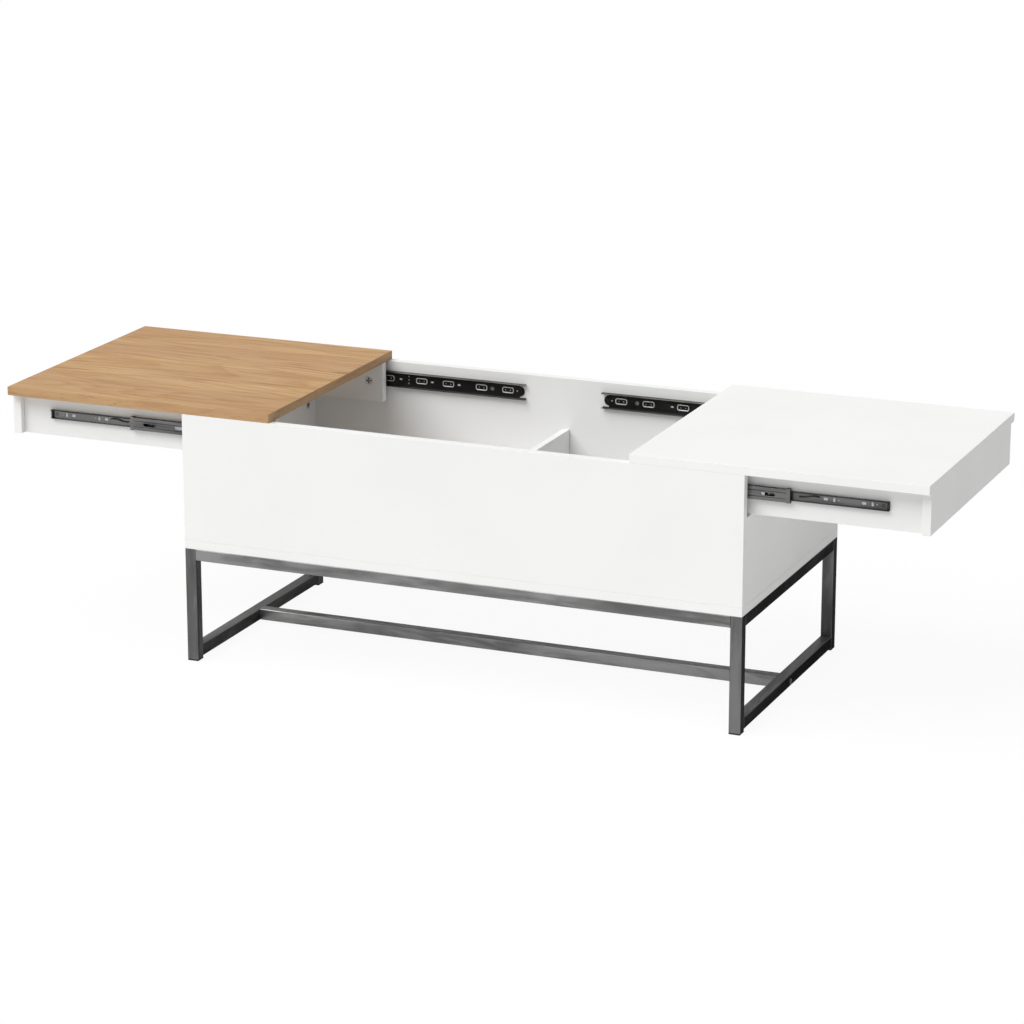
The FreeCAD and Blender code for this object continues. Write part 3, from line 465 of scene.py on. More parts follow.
    def draw_dust(self, graph: Graph, given: Sockets) -> dict[str, Socket]:
        """Mask the faces that look up, and faint patches of dust on them.

        Args:
            graph: node tree of the group.
            given: the group's inputs.

        Returns:
            The group's outputs.
        """
        surface = graph.add("NewGeometry")
        upward = graph.add("SeparateXYZ", {"Vector": surface.outputs["True Normal"]}).outputs["Z"]
        faces = graph.span(upward, *self.upward_mask)
        patches = graph.noise(given["Vector"], self.dust_scale, *self.dust_make)
        return {"Upward": faces,
                "Mask": graph.math("MULTIPLY", faces, graph.span(patches, *self.dust_mask))}


EFFECTS = EffectLibrary()


@dataclass(frozen=True)
class Finish:
    """Base of the finishes: makes a material and eases its sharp edges."""

    name: str

    def material(self) -> Material:
        """Make the material.

        Returns:
            The material, with colour, gloss and relief joined to its output.
        """
        material = bpy.data.materials.new(self.name)
        material.use_nodes = True
        graph = Graph(material.node_tree)
        relief, surface = self.draw(graph, graph.add("TexCoord").outputs["Object"])
        eased = graph.add("Bevel", {"Radius": EDGE_EASING}, samples=EDGE_SAMPLES)
        bump = graph.add("Bump", {**relief, "Normal": eased.outputs["Normal"]})
        shader = graph.add("BsdfPrincipled", {**surface, "Normal": bump.outputs["Normal"]})
        graph.add("OutputMaterial", {"Surface": shader.outputs["BSDF"]})
        return material

    def draw(self, graph: Graph, place: Socket) -> tuple[Inputs, Inputs]:
        """Draw the finish; each kind of finish has its own way.

        Args:
            graph: node tree of the material.
            place: socket of the object's coordinates.

        Returns:
            The inputs of the relief and those of the surface shader.
        """
        raise NotImplementedError


@dataclass(frozen=True)
class CoatedBoard(Finish):
    """Satin white melamine coat with a fine pearl texture."""

    colour: Colour = (0.83, 0.83, 0.822, 1.0)
    shade: Colour = (0.79, 0.79, 0.78, 1.0)
    worn: Colour = (0.7, 0.69, 0.66, 1.0)
    gloss: Span = (0.52, 0.62)
    specular: float = 0.15
    refraction: float = 1.48
    cloud_scale: float = 5.0
    cloud_share: float = 0.45
    edge: float = 0.0012
    wear: float = 0.35
    dust: float = 0.07
    bump: float = 0.05
    depth: float = 0.0002

    def draw(self, graph: Graph, place: Socket) -> tuple[Inputs, Inputs]:
        """Draw the coat.

        Args:
            graph: node tree of the material.
            place: socket of the object's coordinates.

        Returns:
            The inputs of the relief and those of the surface shader.
        """
        mottle = EFFECTS.place(graph, Effect.MOTTLE, place, self.cloud_scale)
        wear = EFFECTS.place(graph, Effect.WEAR, place, self.edge)
        dust = EFFECTS.place(graph, Effect.DUST, place)
        colour = graph.tint(self.colour, mottle["Cloud"], self.cloud_share, self.shade)
        colour = graph.tint(colour, wear["Mask"], self.wear, self.worn)
        dusty = graph.math("MULTIPLY_ADD", dust["Mask"], self.dust, mottle["Cloud"])
        roughness = graph.span(dusty, 0.0, 1.0 + self.dust, *self.gloss)
        return ({"Strength": self.bump, "Distance": self.depth, "Height": mottle["Fine"]},
                {"Base Color": colour, "Roughness": roughness, "IOR": self.refraction,
                 "Specular IOR Level": self.specular})


@dataclass(frozen=True)
class OakDecor(Finish):
    """Golden oak decor with long figure, growth lines, dark dashes, knots and open pores."""

    light: Colour = (0.52, 0.322, 0.142, 1.0)
    deep: Colour = (0.36, 0.192, 0.074, 1.0)
    deep_share: float = 0.62
    streak: Colour = (0.235, 0.115, 0.05, 1.0)
    streak_share: float = 0.7
    broad: Colour = (0.44, 0.25, 0.115, 1.0)
    pore: Colour = (0.15, 0.068, 0.026, 1.0)
    pore_share: float = 0.45
    knot_share: float = 0.7
    band: Colour = (0.52, 0.345, 0.215, 1.0)
    band_share: float = 0.3
    band_facing: float = 0.5
    worn: Colour = (0.56, 0.37, 0.2, 1.0)
    gloss: Span = (0.48, 0.62)
    specular: float = 0.25
    refraction: float = 1.47
    shift: Places = (0.62, 0.31, 0.0)
    edge: float = 0.0012
    wear: float = 0.3
    dust: float = 0.2
    bump: float = 0.16
    depth: float = 0.0003

    def draw(self, graph: Graph, place: Socket) -> tuple[Inputs, Inputs]:
        """Draw the decor, with the figure turned to run along the bands on the ends.

        Args:
            graph: node tree of the material.
            place: socket of the object's coordinates.

        Returns:
            The inputs of the relief and those of the surface shader.
        """
        shifted = graph.stretch(place, place=self.shift)
        turned = graph.stretch(shifted, turn=(0.0, 0.0, math.pi / 2))
        normal = graph.add("NewGeometry").outputs["True Normal"]
        facing = graph.add("SeparateXYZ", {"Vector": normal}).outputs["X"]
        banded = graph.math("GREATER_THAN", graph.math("ABSOLUTE", facing), self.band_facing)
        grain = EFFECTS.place(graph, Effect.GRAIN, graph.blend(banded, shifted, turned))
        wear = EFFECTS.place(graph, Effect.WEAR, place, self.edge)
        dust = EFFECTS.place(graph, Effect.DUST, place)
        edging = graph.math("SUBTRACT", 1.0, dust["Upward"])
        colour = graph.blend(grain["Tone"], self.light, self.broad)
        for mask, share, second in (
                (grain["Lines"], self.deep_share, self.deep),
                (grain["Streaks"], self.streak_share, self.streak),
                (edging, self.band_share, self.band),
                (grain["Knots"], self.knot_share, self.pore),
                (grain["Pores"], self.pore_share, self.pore),
                (wear["Mask"], self.wear, self.worn)):
            colour = graph.tint(colour, mask, share, second)
        matt = graph.math("MULTIPLY_ADD", dust["Mask"], self.dust, grain["Lines"])
        roughness = graph.span(matt, 0.0, 1.0 + self.dust, *self.gloss)
        return ({"Strength": self.bump, "Distance": self.depth, "Height": grain["Height"]},
                {"Base Color": colour, "Roughness": roughness, "IOR": self.refraction,
                 "Specular IOR Level": self.specular})


@dataclass(frozen=True)
class DrawnMetal(Finish):
    """Rolled or drawn metal with streaks along one axis, bare, plated or under a thin coat."""

    axis: Axis
    dark: Colour
    light: Colour
    worn: Colour = (0.32, 0.32, 0.31, 1.0)
    gloss: Span = (0.3, 0.5)
    metallic: float = 0.75
    edge: float = 0.001
    wear: float = 0.5
    specular: float = 0.5
    edge_tint: Colour = (1.0, 1.0, 1.0, 1.0)
    # Share and colour of a matt grey tone on faces that look up: painted light on the tops, which the real
    # dust patches share.
    film: float = 0.0
    top_light_and_dust_tone: Colour = (0.5, 0.5, 0.5, 1.0)
    hair_share: float = 0.35
    cloud_scale: float = 14.0
    cloud_share: float = 0.25
    full_tone: float = 1.5
    dust: float = 0.08
    bump: float = 0.12
    depth: float = 0.0002

    def draw(self, graph: Graph, place: Socket) -> tuple[Inputs, Inputs]:
        """Draw the metal, with a matt grey tone on the faces that look up where it has one: painted light on
        the tops, which the dust patches share.

        Args:
            graph: node tree of the material.
            place: socket of the object's coordinates.

        Returns:
            The inputs of the relief and those of the surface shader.
        """
        brush = EFFECTS.place(graph, Effect.BRUSH, graph.stretch(place, turn=self.axis.value))
        mottle = EFFECTS.place(graph, Effect.MOTTLE, place, self.cloud_scale)
        wear = EFFECTS.place(graph, Effect.WEAR, place, self.edge)
        dust = EFFECTS.place(graph, Effect.DUST, place)
        tone = graph.math("MULTIPLY_ADD", brush["Hairlines"], self.hair_share, brush["Bands"])
        tone = graph.math("MULTIPLY_ADD", mottle["Cloud"], self.cloud_share, tone)
        colour = graph.blend(graph.span(tone, 0.0, self.full_tone), self.dark, self.light)
        colour = graph.tint(colour, wear["Mask"], self.wear, self.worn)
        dusty = graph.math("MULTIPLY", dust["Mask"], self.dust)
        # Painted light on the tops: faces that look up take the matt top tone, as do the dust patches, and
        # lose their metal.
        film = graph.math("MULTIPLY_ADD", dust["Upward"], self.film, dusty)
        colour = graph.blend(film, colour, self.top_light_and_dust_tone)
        roughness = graph.span(tone, 0.0, self.full_tone, *reversed(self.gloss))
        bare = graph.math("MULTIPLY", graph.math("SUBTRACT", 1.0, film), self.metallic)
        return ({"Strength": self.bump, "Distance": self.depth, "Height": brush["Height"]},
                {"Base Color": colour, "Roughness": roughness, "Metallic": bare,
                 "Specular IOR Level": self.specular, "Specular Tint": self.edge_tint})


@dataclass(frozen=True)
class CastMetal(Finish):
    """Cast or turned small metal with a mottled plating, and painted shade in its recesses."""

    dark: Colour
    light: Colour
    worn: Colour = (0.62, 0.62, 0.61, 1.0)
    gloss: Span = (0.28, 0.48)
    # Colour, reach and mask of the painted shade in the recesses.
    recess_shade: Colour = (0.02, 0.02, 0.02, 1.0)
    pit: float = 0.0
    pit_mask: Span = (0.5, 0.95)
    metallic: float = 0.9
    cloud_scale: float = 90.0
    edge: float = 0.0005
    wear: float = 0.6
    bump: float = 0.1
    depth: float = 0.0001

    def draw(self, graph: Graph, place: Socket) -> tuple[Inputs, Inputs]:
        """Draw the plating, with painted shade darkening its recesses where it has a shade reach.

        Args:
            graph: node tree of the material.
            place: socket of the object's coordinates.

        Returns:
            The inputs of the relief and those of the surface shader.
        """
        mottle = EFFECTS.place(graph, Effect.MOTTLE, place, self.cloud_scale)
        wear = EFFECTS.place(graph, Effect.WEAR, place, self.edge)
        colour = graph.blend(mottle["Cloud"], self.dark, self.light)
        colour = graph.tint(colour, wear["Mask"], self.wear, self.worn)
        # Painted shade: an occlusion mask darkens the recesses, such as a cam's cross slot, towards their
        # dark colour.
        if self.pit:
            occlusion = graph.add("AmbientOcclusion", {"Distance": self.pit}, samples=PAINTED_SHADE_SAMPLES,
                               only_local=True)
            colour = graph.blend(graph.span(occlusion.outputs["AO"], *self.pit_mask), self.recess_shade, colour)
        roughness = graph.span(mottle["Cloud"], 0.0, 1.0, *reversed(self.gloss))
        return ({"Strength": self.bump, "Distance": self.depth, "Height": mottle["Fine"]},
                {"Base Color": colour, "Roughness": roughness, "Metallic": self.metallic})


@dataclass(frozen=True)
class MouldedPlastic(Finish):
    """Black moulded plastic with a fine spark texture and scuffed edges."""

    colour: Colour = (0.02, 0.02, 0.02, 1.0)
    faded: Colour = (0.045, 0.045, 0.045, 1.0)
    scuffed: Colour = (0.12, 0.12, 0.12, 1.0)
    gloss: Span = (0.5, 0.66)
    specular: float = 0.2
    cloud_scale: float = 70.0
    edge: float = 0.0008
    wear: float = 0.5
    bump: float = 0.2
    depth: float = 0.0001

    def draw(self, graph: Graph, place: Socket) -> tuple[Inputs, Inputs]:
        """Draw the plastic.

        Args:
            graph: node tree of the material.
            place: socket of the object's coordinates.

        Returns:
            The inputs of the relief and those of the surface shader.
        """
        mottle = EFFECTS.place(graph, Effect.MOTTLE, place, self.cloud_scale)
        wear = EFFECTS.place(graph, Effect.WEAR, place, self.edge)
        colour = graph.blend(mottle["Cloud"], self.colour, self.faded)
        colour = graph.tint(colour, wear["Mask"], self.wear, self.scuffed)
        roughness = graph.span(mottle["Cloud"], 0.0, 1.0, *self.gloss)
        return ({"Strength": self.bump, "Distance": self.depth, "Height": mottle["Fine"]},
                {"Base Color": colour, "Roughness": roughness, "Specular IOR Level": self.specular})


def dress(nodes: Iterable[str], material: Material) -> None:
    """Give CAD pieces their finish.

    Args:
        nodes: names of the pieces in the frame.
        material: finish to give them.
    """
    for name in nodes:
        piece = FRAME["nodes"][name]
        if not piece.material_slots:
            piece.data.materials.append(material)
        for slot in piece.material_slots:
            slot.material = material
        log.info("%s wears %s", name, material.name)


def finish_piece(name: str, mesh: bmesh.types.BMesh, materials: Iterable[Material], body: str,
                 stands_for: Iterable[str] = ()) -> None:
    """Make an object of a modelled mesh and let it ride on a body.

    Args:
        name: name of the new piece.
        mesh: finished mesh, in its place.
        materials: finishes of the piece, in the order of its faces' material numbers.
        body: body that it moves with.
        stands_for: CAD pieces that it is shown in place of.
    """
    bmesh.ops.recalc_face_normals(mesh, faces=mesh.faces)
    for face in mesh.faces:
        face.smooth = True
    data = bpy.data.meshes.new(name)
    mesh.to_mesh(data)
    mesh.free()
    data.set_sharp_from_angle(angle=SHARP_ANGLE)
    for material in materials:
        data.materials.append(material)
    piece = bpy.data.objects.new(name, data)
    bpy.context.scene.collection.objects.link(piece)
    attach(piece, body)
    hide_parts(*stands_for)
    log.info("built %s with %d faces", name, len(data.polygons))


@dataclass
class Cabinet:
    """Coated boards of the box, and the fittings that join them."""

    finish: CoatedBoard = CoatedBoard("white_coated_board")
    # The cams' cross slots are darkened by painted shade.
    cams: CastMetal = CastMetal("cast_zinc_cam", grey(0.5), grey(0.68), grey(0.75), pit=0.004)
    screws: CastMetal = CastMetal("plated_screw", grey(0.16), grey(0.34))
    boards: tuple[str, ...] = ("bottom_board", "front_panel", "back_panel", "left_end_panel",
                               "right_end_panel", "divider_panel")

    def build(self) -> None:
        """Dress the boards and their fittings."""
        dress(self.boards, self.finish.material())
        dress(["carcass_cam_locks"], self.cams.material())
        dress(["carcass_cam_bolts", "carcass_screws"], self.screws.material())


@dataclass(frozen=True)
class TubeRun:
    """Tubes that lie alike, with the axis of their drawn coat and its tones, which are painted light and
    shade.
    """

    word: str
    axis: Axis
    dark: Colour
    light: Colour
    nodes: tuple[str, ...]


@dataclass
class TubeFrame:
    """Square-tube frame with welded joints, bolts and foot glides, in one gunmetal coat with painted light
    and shade.
    """

    gloss: Span = (0.28, 0.38)
    metallic: float = 0.95
    wear: float = 0.3
    specular: float = 0.1
    edge_tint: Colour = grey(0.0)
    # The tubes' tops get painted light: a matt grey tone set by colour.
    film: float = 0.55
    top_light_and_dust_tone: Colour = grey(0.235)
    plastic: MouldedPlastic = MouldedPlastic("black_glide_plastic")
    hardware: CastMetal = CastMetal("dark_bolt_steel", grey(0.045), grey(0.11), grey(0.26))
    # One gunmetal coat in lit and shaded copies: the tones of each run are painted light and shade, lighter
    # on the stretcher and darker on the side rails.
    runs: tuple[TubeRun, ...] = (
        TubeRun("long_rail", Axis.X, grey(0.12), grey(0.29),
                ("front_long_rail", "rear_long_rail", "rail_lugs")),
        TubeRun("stretcher", Axis.X, grey(0.19), grey(0.46), ("stretcher",)),
        TubeRun("side_rail", Axis.Y, grey(0.07), grey(0.17),
                ("left_side_rail", "right_side_rail", "left_floor_rail", "right_floor_rail")),
        TubeRun("leg", Axis.Z, grey(0.095), grey(0.19),
                ("front_left_leg", "front_right_leg", "rear_left_leg", "rear_right_leg")),
    )

    def build(self) -> None:
        """Dress the tubes along their own axes, each run in its own shaded copy of the coat, with their
        bolts and feet.
        """
        for run in self.runs:
            coat = DrawnMetal(f"gunmetal_{run.word}", run.axis, run.dark, run.light, gloss=self.gloss,
                              metallic=self.metallic, wear=self.wear, specular=self.specular,
                              edge_tint=self.edge_tint, film=self.film, top_light_and_dust_tone=self.top_light_and_dust_tone)
            dress(run.nodes, coat.material())
        dress(["foot_glides"], self.plastic.material())
        dress(["frame_bolts", "cabinet_screws", "stretcher_nut_blocks"], self.hardware.material())


@dataclass(frozen=True)
class Opening:
    """Round-ended hole in the web of a slide member, or the outline of a ring on it."""

    along: float
    length: float
    height: float
    rise: float = 0.0


@dataclass(frozen=True)
class SlidePlace:
    """Place of one slide in the frame."""

    side: Side
    face: Face

    @property
    def stem(self) -> str:
        """Start of the names of the slide's pieces."""
        return f"{self.side.word}_{self.face.word}"

    def span(self, kind: str) -> Span:
        """Distances of a member's ends from the table's middle, the nearer one first."""
        ends = [corner.x * self.side.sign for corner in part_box(f"{self.stem}_{kind}_slide")]
        return min(ends), max(ends)

    def seat(self) -> Span:
        """Distance of the panel's inner face from the middle, and the height of the slide."""
        low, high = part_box(f"{self.stem}_fixed_slide")
        return max(abs(low.y), abs(high.y)), (low.z + high.z) / 2


class SheetForm:
    """A rolled sheet on the bench: X from the table's middle outwards, Y depth from the panel, Z rise."""

    def __init__(self) -> None:
        """Start with an empty mesh."""
        self.mesh = bmesh.new()

    def trace(self, points: Iterable[Span], closed: bool = False) -> list[bmesh.types.BMVert]:
        """Join points of the web by a run of edges.

        Args:
            points: X and rise of each point.
            closed: whether the run comes back to its start.

        Returns:
            The points of the run.
        """
        marks = [self.mesh.verts.new((along, 0.0, rise)) for along, rise in points]
        for first, second in zip(marks, marks[1:] + marks[:1] if closed else marks[1:]):
            self.mesh.edges.new((first, second))
        return marks

    def strip(self, near: float, far: float, edge: float) -> None:
        """Trace a plain web between two ends, with its long edges at one rise."""
        self.trace([(near, -edge), (far, -edge), (far, edge), (near, edge)], closed=True)

    def pierce(self, opening: Opening, steps: int = ROUND_STEPS) -> None:
        """Draw a hole with round ends in the web."""
        self.rounded(opening, min(opening.length, opening.height) / 2, steps=steps)

    def rounded(self, opening: Opening, radius: float, depth: float = 0.0,
                steps: int = LONG_STEPS) -> list[bmesh.types.BMEdge]:
        """Draw a rounded rectangle in the web: a circle whose quarters are moved apart.

        Args:
            opening: place and outer size of the rectangle.
            radius: radius of its corners.
            depth: depth at which it lies.
            steps: number of its edges, a multiple of four.

        Returns:
            The edges of the loop.
        """
        turn = Matrix.Rotation(math.pi / 2, 4, "X") @ Matrix.Rotation(math.pi / steps, 4, "Z")
        ring = bmesh.ops.create_circle(self.mesh, cap_ends=False, segments=steps, radius=radius, matrix=turn)
        for mark in ring["verts"]:
            mark.co.x += math.copysign(opening.length / 2 - radius, mark.co.x)
            mark.co.z += math.copysign(opening.height / 2 - radius, mark.co.z)
        bmesh.ops.translate(self.mesh, verts=ring["verts"], vec=(opening.along, depth, opening.rise))
        return list({edge for mark in ring["verts"] for edge in mark.link_edges})

    def fill(self, depth: float) -> None:
        """Fill the traced outline around its openings and set the web at its depth."""
        bmesh.ops.triangle_fill(self.mesh, use_beauty=True, edges=self.mesh.edges)
        bmesh.ops.translate(self.mesh, verts=self.mesh.verts, vec=(0.0, depth, 0.0))

    def press(self, rises: Iterable[float], half_width: float, depth: float) -> None:
        """Press a groove into the web along X at each rise.

        Args:
            rises: middles of the grooves.
            half_width: half of a groove's width.
            depth: how far its floor moves in depth.
        """
        for rise in rises:
            for step in (-1, 0, 1):
                everything = self.mesh.verts[:] + self.mesh.edges[:] + self.mesh.faces[:]
                bmesh.ops.bisect_plane(self.mesh, geom=everything, dist=CUT_REACH,
                                       plane_co=(0.0, 0.0, rise + step * half_width),
                                       plane_no=(0.0, 0.0, 1.0))
            floor = [mark for mark in self.mesh.verts if abs(mark.co.z - rise) < SAME_PLACE]
            bmesh.ops.translate(self.mesh, verts=floor, vec=(0.0, depth, 0.0))

    def roll(self, edge_rise: float, profile: Iterable[Span]) -> None:
        """Roll a flange along both long edges of the web.

        Args:
            edge_rise: rise of the web's long edge.
            profile: depth and rise of each bend of the flange.
        """
        for sign in (-1, 1):
            edges = [edge for edge in self.mesh.edges
                     if all(abs(mark.co.z - sign * edge_rise) < SAME_PLACE for mark in edge.verts)]
            for depth, rise in profile:
                made = bmesh.ops.extrude_edge_only(self.mesh, edges=edges)["geom"]
                edges = [item for item in made if isinstance(item, bmesh.types.BMEdge)
                         and abs(item.verts[0].co.x - item.verts[1].co.x) > SAME_PLACE]
                for mark in {mark for edge in edges for mark in edge.verts}:
                    mark.co.y = depth
                    mark.co.z = sign * rise

    def thicken(self, sheet: float, outward: Outlook) -> None:
        """Give the sheet its thickness on the side away from its outer face.

        Args:
            sheet: thickness of the metal.
            outward: way that the web's outer face looks.
        """
        bmesh.ops.recalc_face_normals(self.mesh, faces=self.mesh.faces)
        web = max(self.mesh.faces, key=lambda face: abs(face.normal.y) * face.calc_area())
        if web.normal.y * outward < 0:
            bmesh.ops.reverse_faces(self.mesh, faces=self.mesh.faces)
        bmesh.ops.solidify(self.mesh, geom=self.mesh.faces[:], thickness=sheet)

    def mark(self, number: Coat, chosen: Callable[[Vector], bool]) -> None:
        """Give a material number to faces.

        Args:
            number: material number.
            chosen: test of a face's middle.
        """
        for face in self.mesh.faces:
            if chosen(face.calc_center_median()):
                face.material_index = number

    def bead(self, opening: Opening, radius: float, width: float, base: float, crest: float,
             number: Coat) -> None:
        """Raise a rounded ring on the web.

        Args:
            opening: place and outer size of the ring.
            radius: radius of its outer corners.
            width: width of the ring.
            base: depth of its foot.
            crest: depth of its top.
            number: material number of the ring.
        """
        before = set(self.mesh.faces)
        loops = []
        for share, depth in ((0.0, base), (BEAD_SLOPE, crest), (1.0 - BEAD_SLOPE, crest), (1.0, base)):
            inset = width * share
            size = Opening(opening.along, opening.length - inset * 2, opening.height - inset * 2)
            loops.append(self.rounded(size, radius - inset, depth))
        for first, second in zip(loops, loops[1:] + loops[:1]):
            bmesh.ops.bridge_loops(self.mesh, edges=first + second)
        for face in set(self.mesh.faces) - before:
            face.material_index = number

    def take(self, other: "SheetForm") -> None:
        """Join another sheet to this one.

        Args:
            other: sheet that is used up.
        """
        data = bpy.data.meshes.new("joined_sheet")
        other.mesh.to_mesh(data)
        other.mesh.free()
        self.mesh.from_mesh(data)
        bpy.data.meshes.remove(data)

    def place(self, where: SlidePlace) -> bmesh.types.BMesh:
        """Move the sheet from the bench to its panel.

        Args:
            where: place of the slide.

        Returns:
            The mesh in its place.
        """
        panel, level = where.seat()
        bmesh.ops.scale(self.mesh, verts=self.mesh.verts, vec=(where.side.sign, -where.face.sign, 1.0))
        bmesh.ops.translate(self.mesh, verts=self.mesh.verts, vec=(0.0, panel * where.face.sign, level))
        return self.mesh


@dataclass
class SlideSet:
    """Ball slides: black fixed channels, grey running members, levers, end stops, cages and balls."""

    sheet: float = 0.001
    channel_edge: float = 0.0125
    channel_profile: Profile = (
        (0.0004, 0.0136), (0.0015, 0.014), (0.0072, 0.014), (0.0084, 0.0136), (0.009, 0.0127),
        (0.0088, 0.012))
    lip_depth: float = 0.0018
    prong_rise: float = 0.0115
    tongue_radius: float = 0.009
    tongue_middle: float = 0.012
    tongue_steps: int = 12
    ring_places: Places = (0.0347, 0.0854, 0.1491, 0.2009, 0.265)
    ring_size: Span = (0.0225, 0.0115)
    ring_corner: float = 0.0042
    ring_width: float = 0.0021
    ring_crest: float = 0.0004
    bead_sink: float = 0.0002
    island_holes: Places = (-0.0045, 0.0045)
    island_hole: float = 0.0022
    web_holes: Places = (0.0644, 0.1288, 0.1806, 0.2415)
    web_hole: Span = (0.006, 0.0034)
    tongue_hole: Span = (0.0172, 0.003)
    dot_place: float = 0.2261
    dot_rises: Places = (-0.006, 0.0, 0.006)
    dot_size: float = 0.0028
    mid_web: float = 0.0022
    mid_edge: float = 0.0096
    mid_profile: Profile = ((0.0025, 0.0104), (0.0034, 0.0108), (0.0095, 0.0108), (0.0105, 0.0104))
    mid_groove: float = 0.0049
    groove_half: float = 0.0007
    groove_depth: float = 0.0005
    mid_slot: Span = (0.024, 0.0056)
    mid_slot_shares: Places = (0.14, 0.361, 0.582, 0.803)
    collar_length: float = 0.006
    collar_rise: float = 0.0009
    collar_lift: float = 0.0001
    inner_web: float = 0.012
    inner_edge: float = 0.0064
    inner_profile: Profile = ((0.0117, 0.0072), (0.0108, 0.0076), (0.0058, 0.0076), (0.005, 0.0073))
    group_places: Places = (0.021, 0.084, 0.192, 0.273)
    oval_step: float = 0.0075
    oval_size: Span = (0.0043, 0.0074)
    hole_step: float = 0.0215
    hole_size: Span = (0.008, 0.005)
    screw_place: float = 0.167
    screw_hole: float = 0.0036
    rivet_place: float = 0.0105
    rivet_size: float = 0.0056
    rivet_rim: float = 0.0013
    rivet_rise: float = 0.0006
    lever_place: float = 0.115
    lever_run: Profile = (
        (0.0, 0.0018), (0.004, 0.0026), (0.01, 0.0027), (0.017, 0.0016), (0.022, 0.0002),
        (0.027, -0.0004), (0.034, -0.0004))
    lever_half: float = 0.0008
    lever_depth: float = 0.0102
    lever_sheet: float = 0.0016
    stop_length: float = 0.0038
    stop_size: Span = (0.003, 0.0124)
    stop_corner: float = 0.0014
    stop_easing: float = 0.0014 / 3
    stop_facets: int = 2
    stop_depth: float = 0.0093

    channel: DrawnMetal = DrawnMetal("black_zinc_channel", Axis.X, grey(0.008), grey(0.024), grey(0.2),
                                     gloss=(0.3, 0.44), metallic=0.5, edge=0.0006, wear=0.25, specular=0.3)
    # Lighter colour of the channel's lips.
    lip: DrawnMetal = DrawnMetal("lighter_channel_lip", Axis.X, (0.028, 0.025, 0.022, 1.0),
                                 (0.085, 0.078, 0.071, 1.0), grey(0.25), gloss=(0.28, 0.4), metallic=0.7,
                                 edge=0.0006, wear=0.3)
    ring: DrawnMetal = DrawnMetal("bright_pressed_ring", Axis.X, grey(0.55), grey(0.78), grey(0.85),
                                  gloss=(0.3, 0.42), metallic=0.45, edge=0.0004, wear=0.3)
    member: DrawnMetal = DrawnMetal("grey_zinc_member", Axis.X, grey(0.085), grey(0.19), grey(0.4),
                                    gloss=(0.26, 0.4), metallic=0.9, edge=0.0006, wear=0.4,
                                    edge_tint=grey(0.35))
    # Dark colour on the races of the running members: painted shade.
    greased: DrawnMetal = DrawnMetal("greased_race", Axis.X, grey(0.012), grey(0.04), grey(0.1),
                                     gloss=(0.25, 0.4), metallic=0.4, edge=0.0004, wear=0.2, specular=0.25)
    cage: DrawnMetal = DrawnMetal("pale_zinc_cage", Axis.X, grey(0.3), grey(0.55), grey(0.7),
                                  gloss=(0.24, 0.36), metallic=0.9, edge=0.0003, wear=0.4)
    ball: CastMetal = CastMetal("polished_ball", grey(0.6), grey(0.75), grey(0.8), gloss=(0.06, 0.12))
    # The screws' recesses are darkened by painted shade.
    screw: CastMetal = CastMetal("slide_screw_steel", grey(0.2), grey(0.38), grey(0.55), pit=0.002)
    plastic: MouldedPlastic = MouldedPlastic("black_slide_plastic")

    def build(self) -> None:
        """Model the members of all slides, and dress their cages, balls and screws."""
        channel = [self.channel.material(), self.lip.material(), self.ring.material()]
        member = [self.member.material(), self.greased.material()]
        plastic = [self.plastic.material()]
        cage = self.cage.material()
        ball = self.ball.material()
        screw = self.screw.material()
        for side in Side:
            for face in Face:
                where = SlidePlace(side, face)
                self.build_channel(where, channel)
                self.build_mid(where, member)
                self.build_inner(where, member)
                self.build_lever(where, plastic)
                self.build_stop(where, plastic)
            dress([f"{side.word}_outer_cages", f"{side.word}_inner_cages"], cage)
            dress([f"{side.word}_outer_balls", f"{side.word}_inner_balls"], ball)
            dress([f"{side.word}_slide_screws"], screw)
        dress(["fixed_slide_screws"], screw)

    def build_channel(self, where: SlidePlace, materials: list[Material]) -> None:
        """Roll a fixed channel with a tongue between two prongs, ringed islands and holes.

        Args:
            where: place of the slide.
            materials: finishes of the web, the lips and the rings.
        """
        near, far = where.span("fixed")
        form = SheetForm()
        tongue = near + self.tongue_middle
        edge = self.channel_edge
        marks = form.trace([(tongue, self.tongue_radius), (tongue, self.prong_rise), (near, self.prong_rise),
                            (near, edge), (far, edge), (far, -edge), (near, -edge),
                            (near, -self.prong_rise), (tongue, -self.prong_rise),
                            (tongue, -self.tongue_radius)])
        bmesh.ops.spin(form.mesh, geom=[marks[-1]], cent=(tongue, 0.0, 0.0), axis=(0.0, 1.0, 0.0),
                       angle=math.pi, steps=self.tongue_steps)
        bmesh.ops.remove_doubles(form.mesh, verts=form.mesh.verts, dist=SAME_PLACE)
        for place in self.ring_places:
            for step in self.island_holes:
                form.pierce(Opening(near + place + step, self.island_hole, self.island_hole))
        for place in self.web_holes:
            form.pierce(Opening(near + place, *self.web_hole), SLOT_STEPS)
        place, width = self.tongue_hole
        form.pierce(Opening(near + place, width, width))
        for rise in self.dot_rises:
            form.pierce(Opening(near + self.dot_place, self.dot_size, self.dot_size, rise))
        form.fill(0.0)
        form.roll(edge, self.channel_profile)
        form.thicken(self.sheet, Outlook.TO_PANEL)
        # The lips take a lighter colour than the web.
        form.mark(Coat.TRIM, lambda middle: middle.y > self.lip_depth)
        for place in self.ring_places:
            form.bead(Opening(near + place, *self.ring_size), self.ring_corner, self.ring_width,
                      self.sheet - self.bead_sink, self.sheet + self.ring_crest, Coat.RING)
        self.fit(form, where, "channel", "fixed", "cabinet", materials)

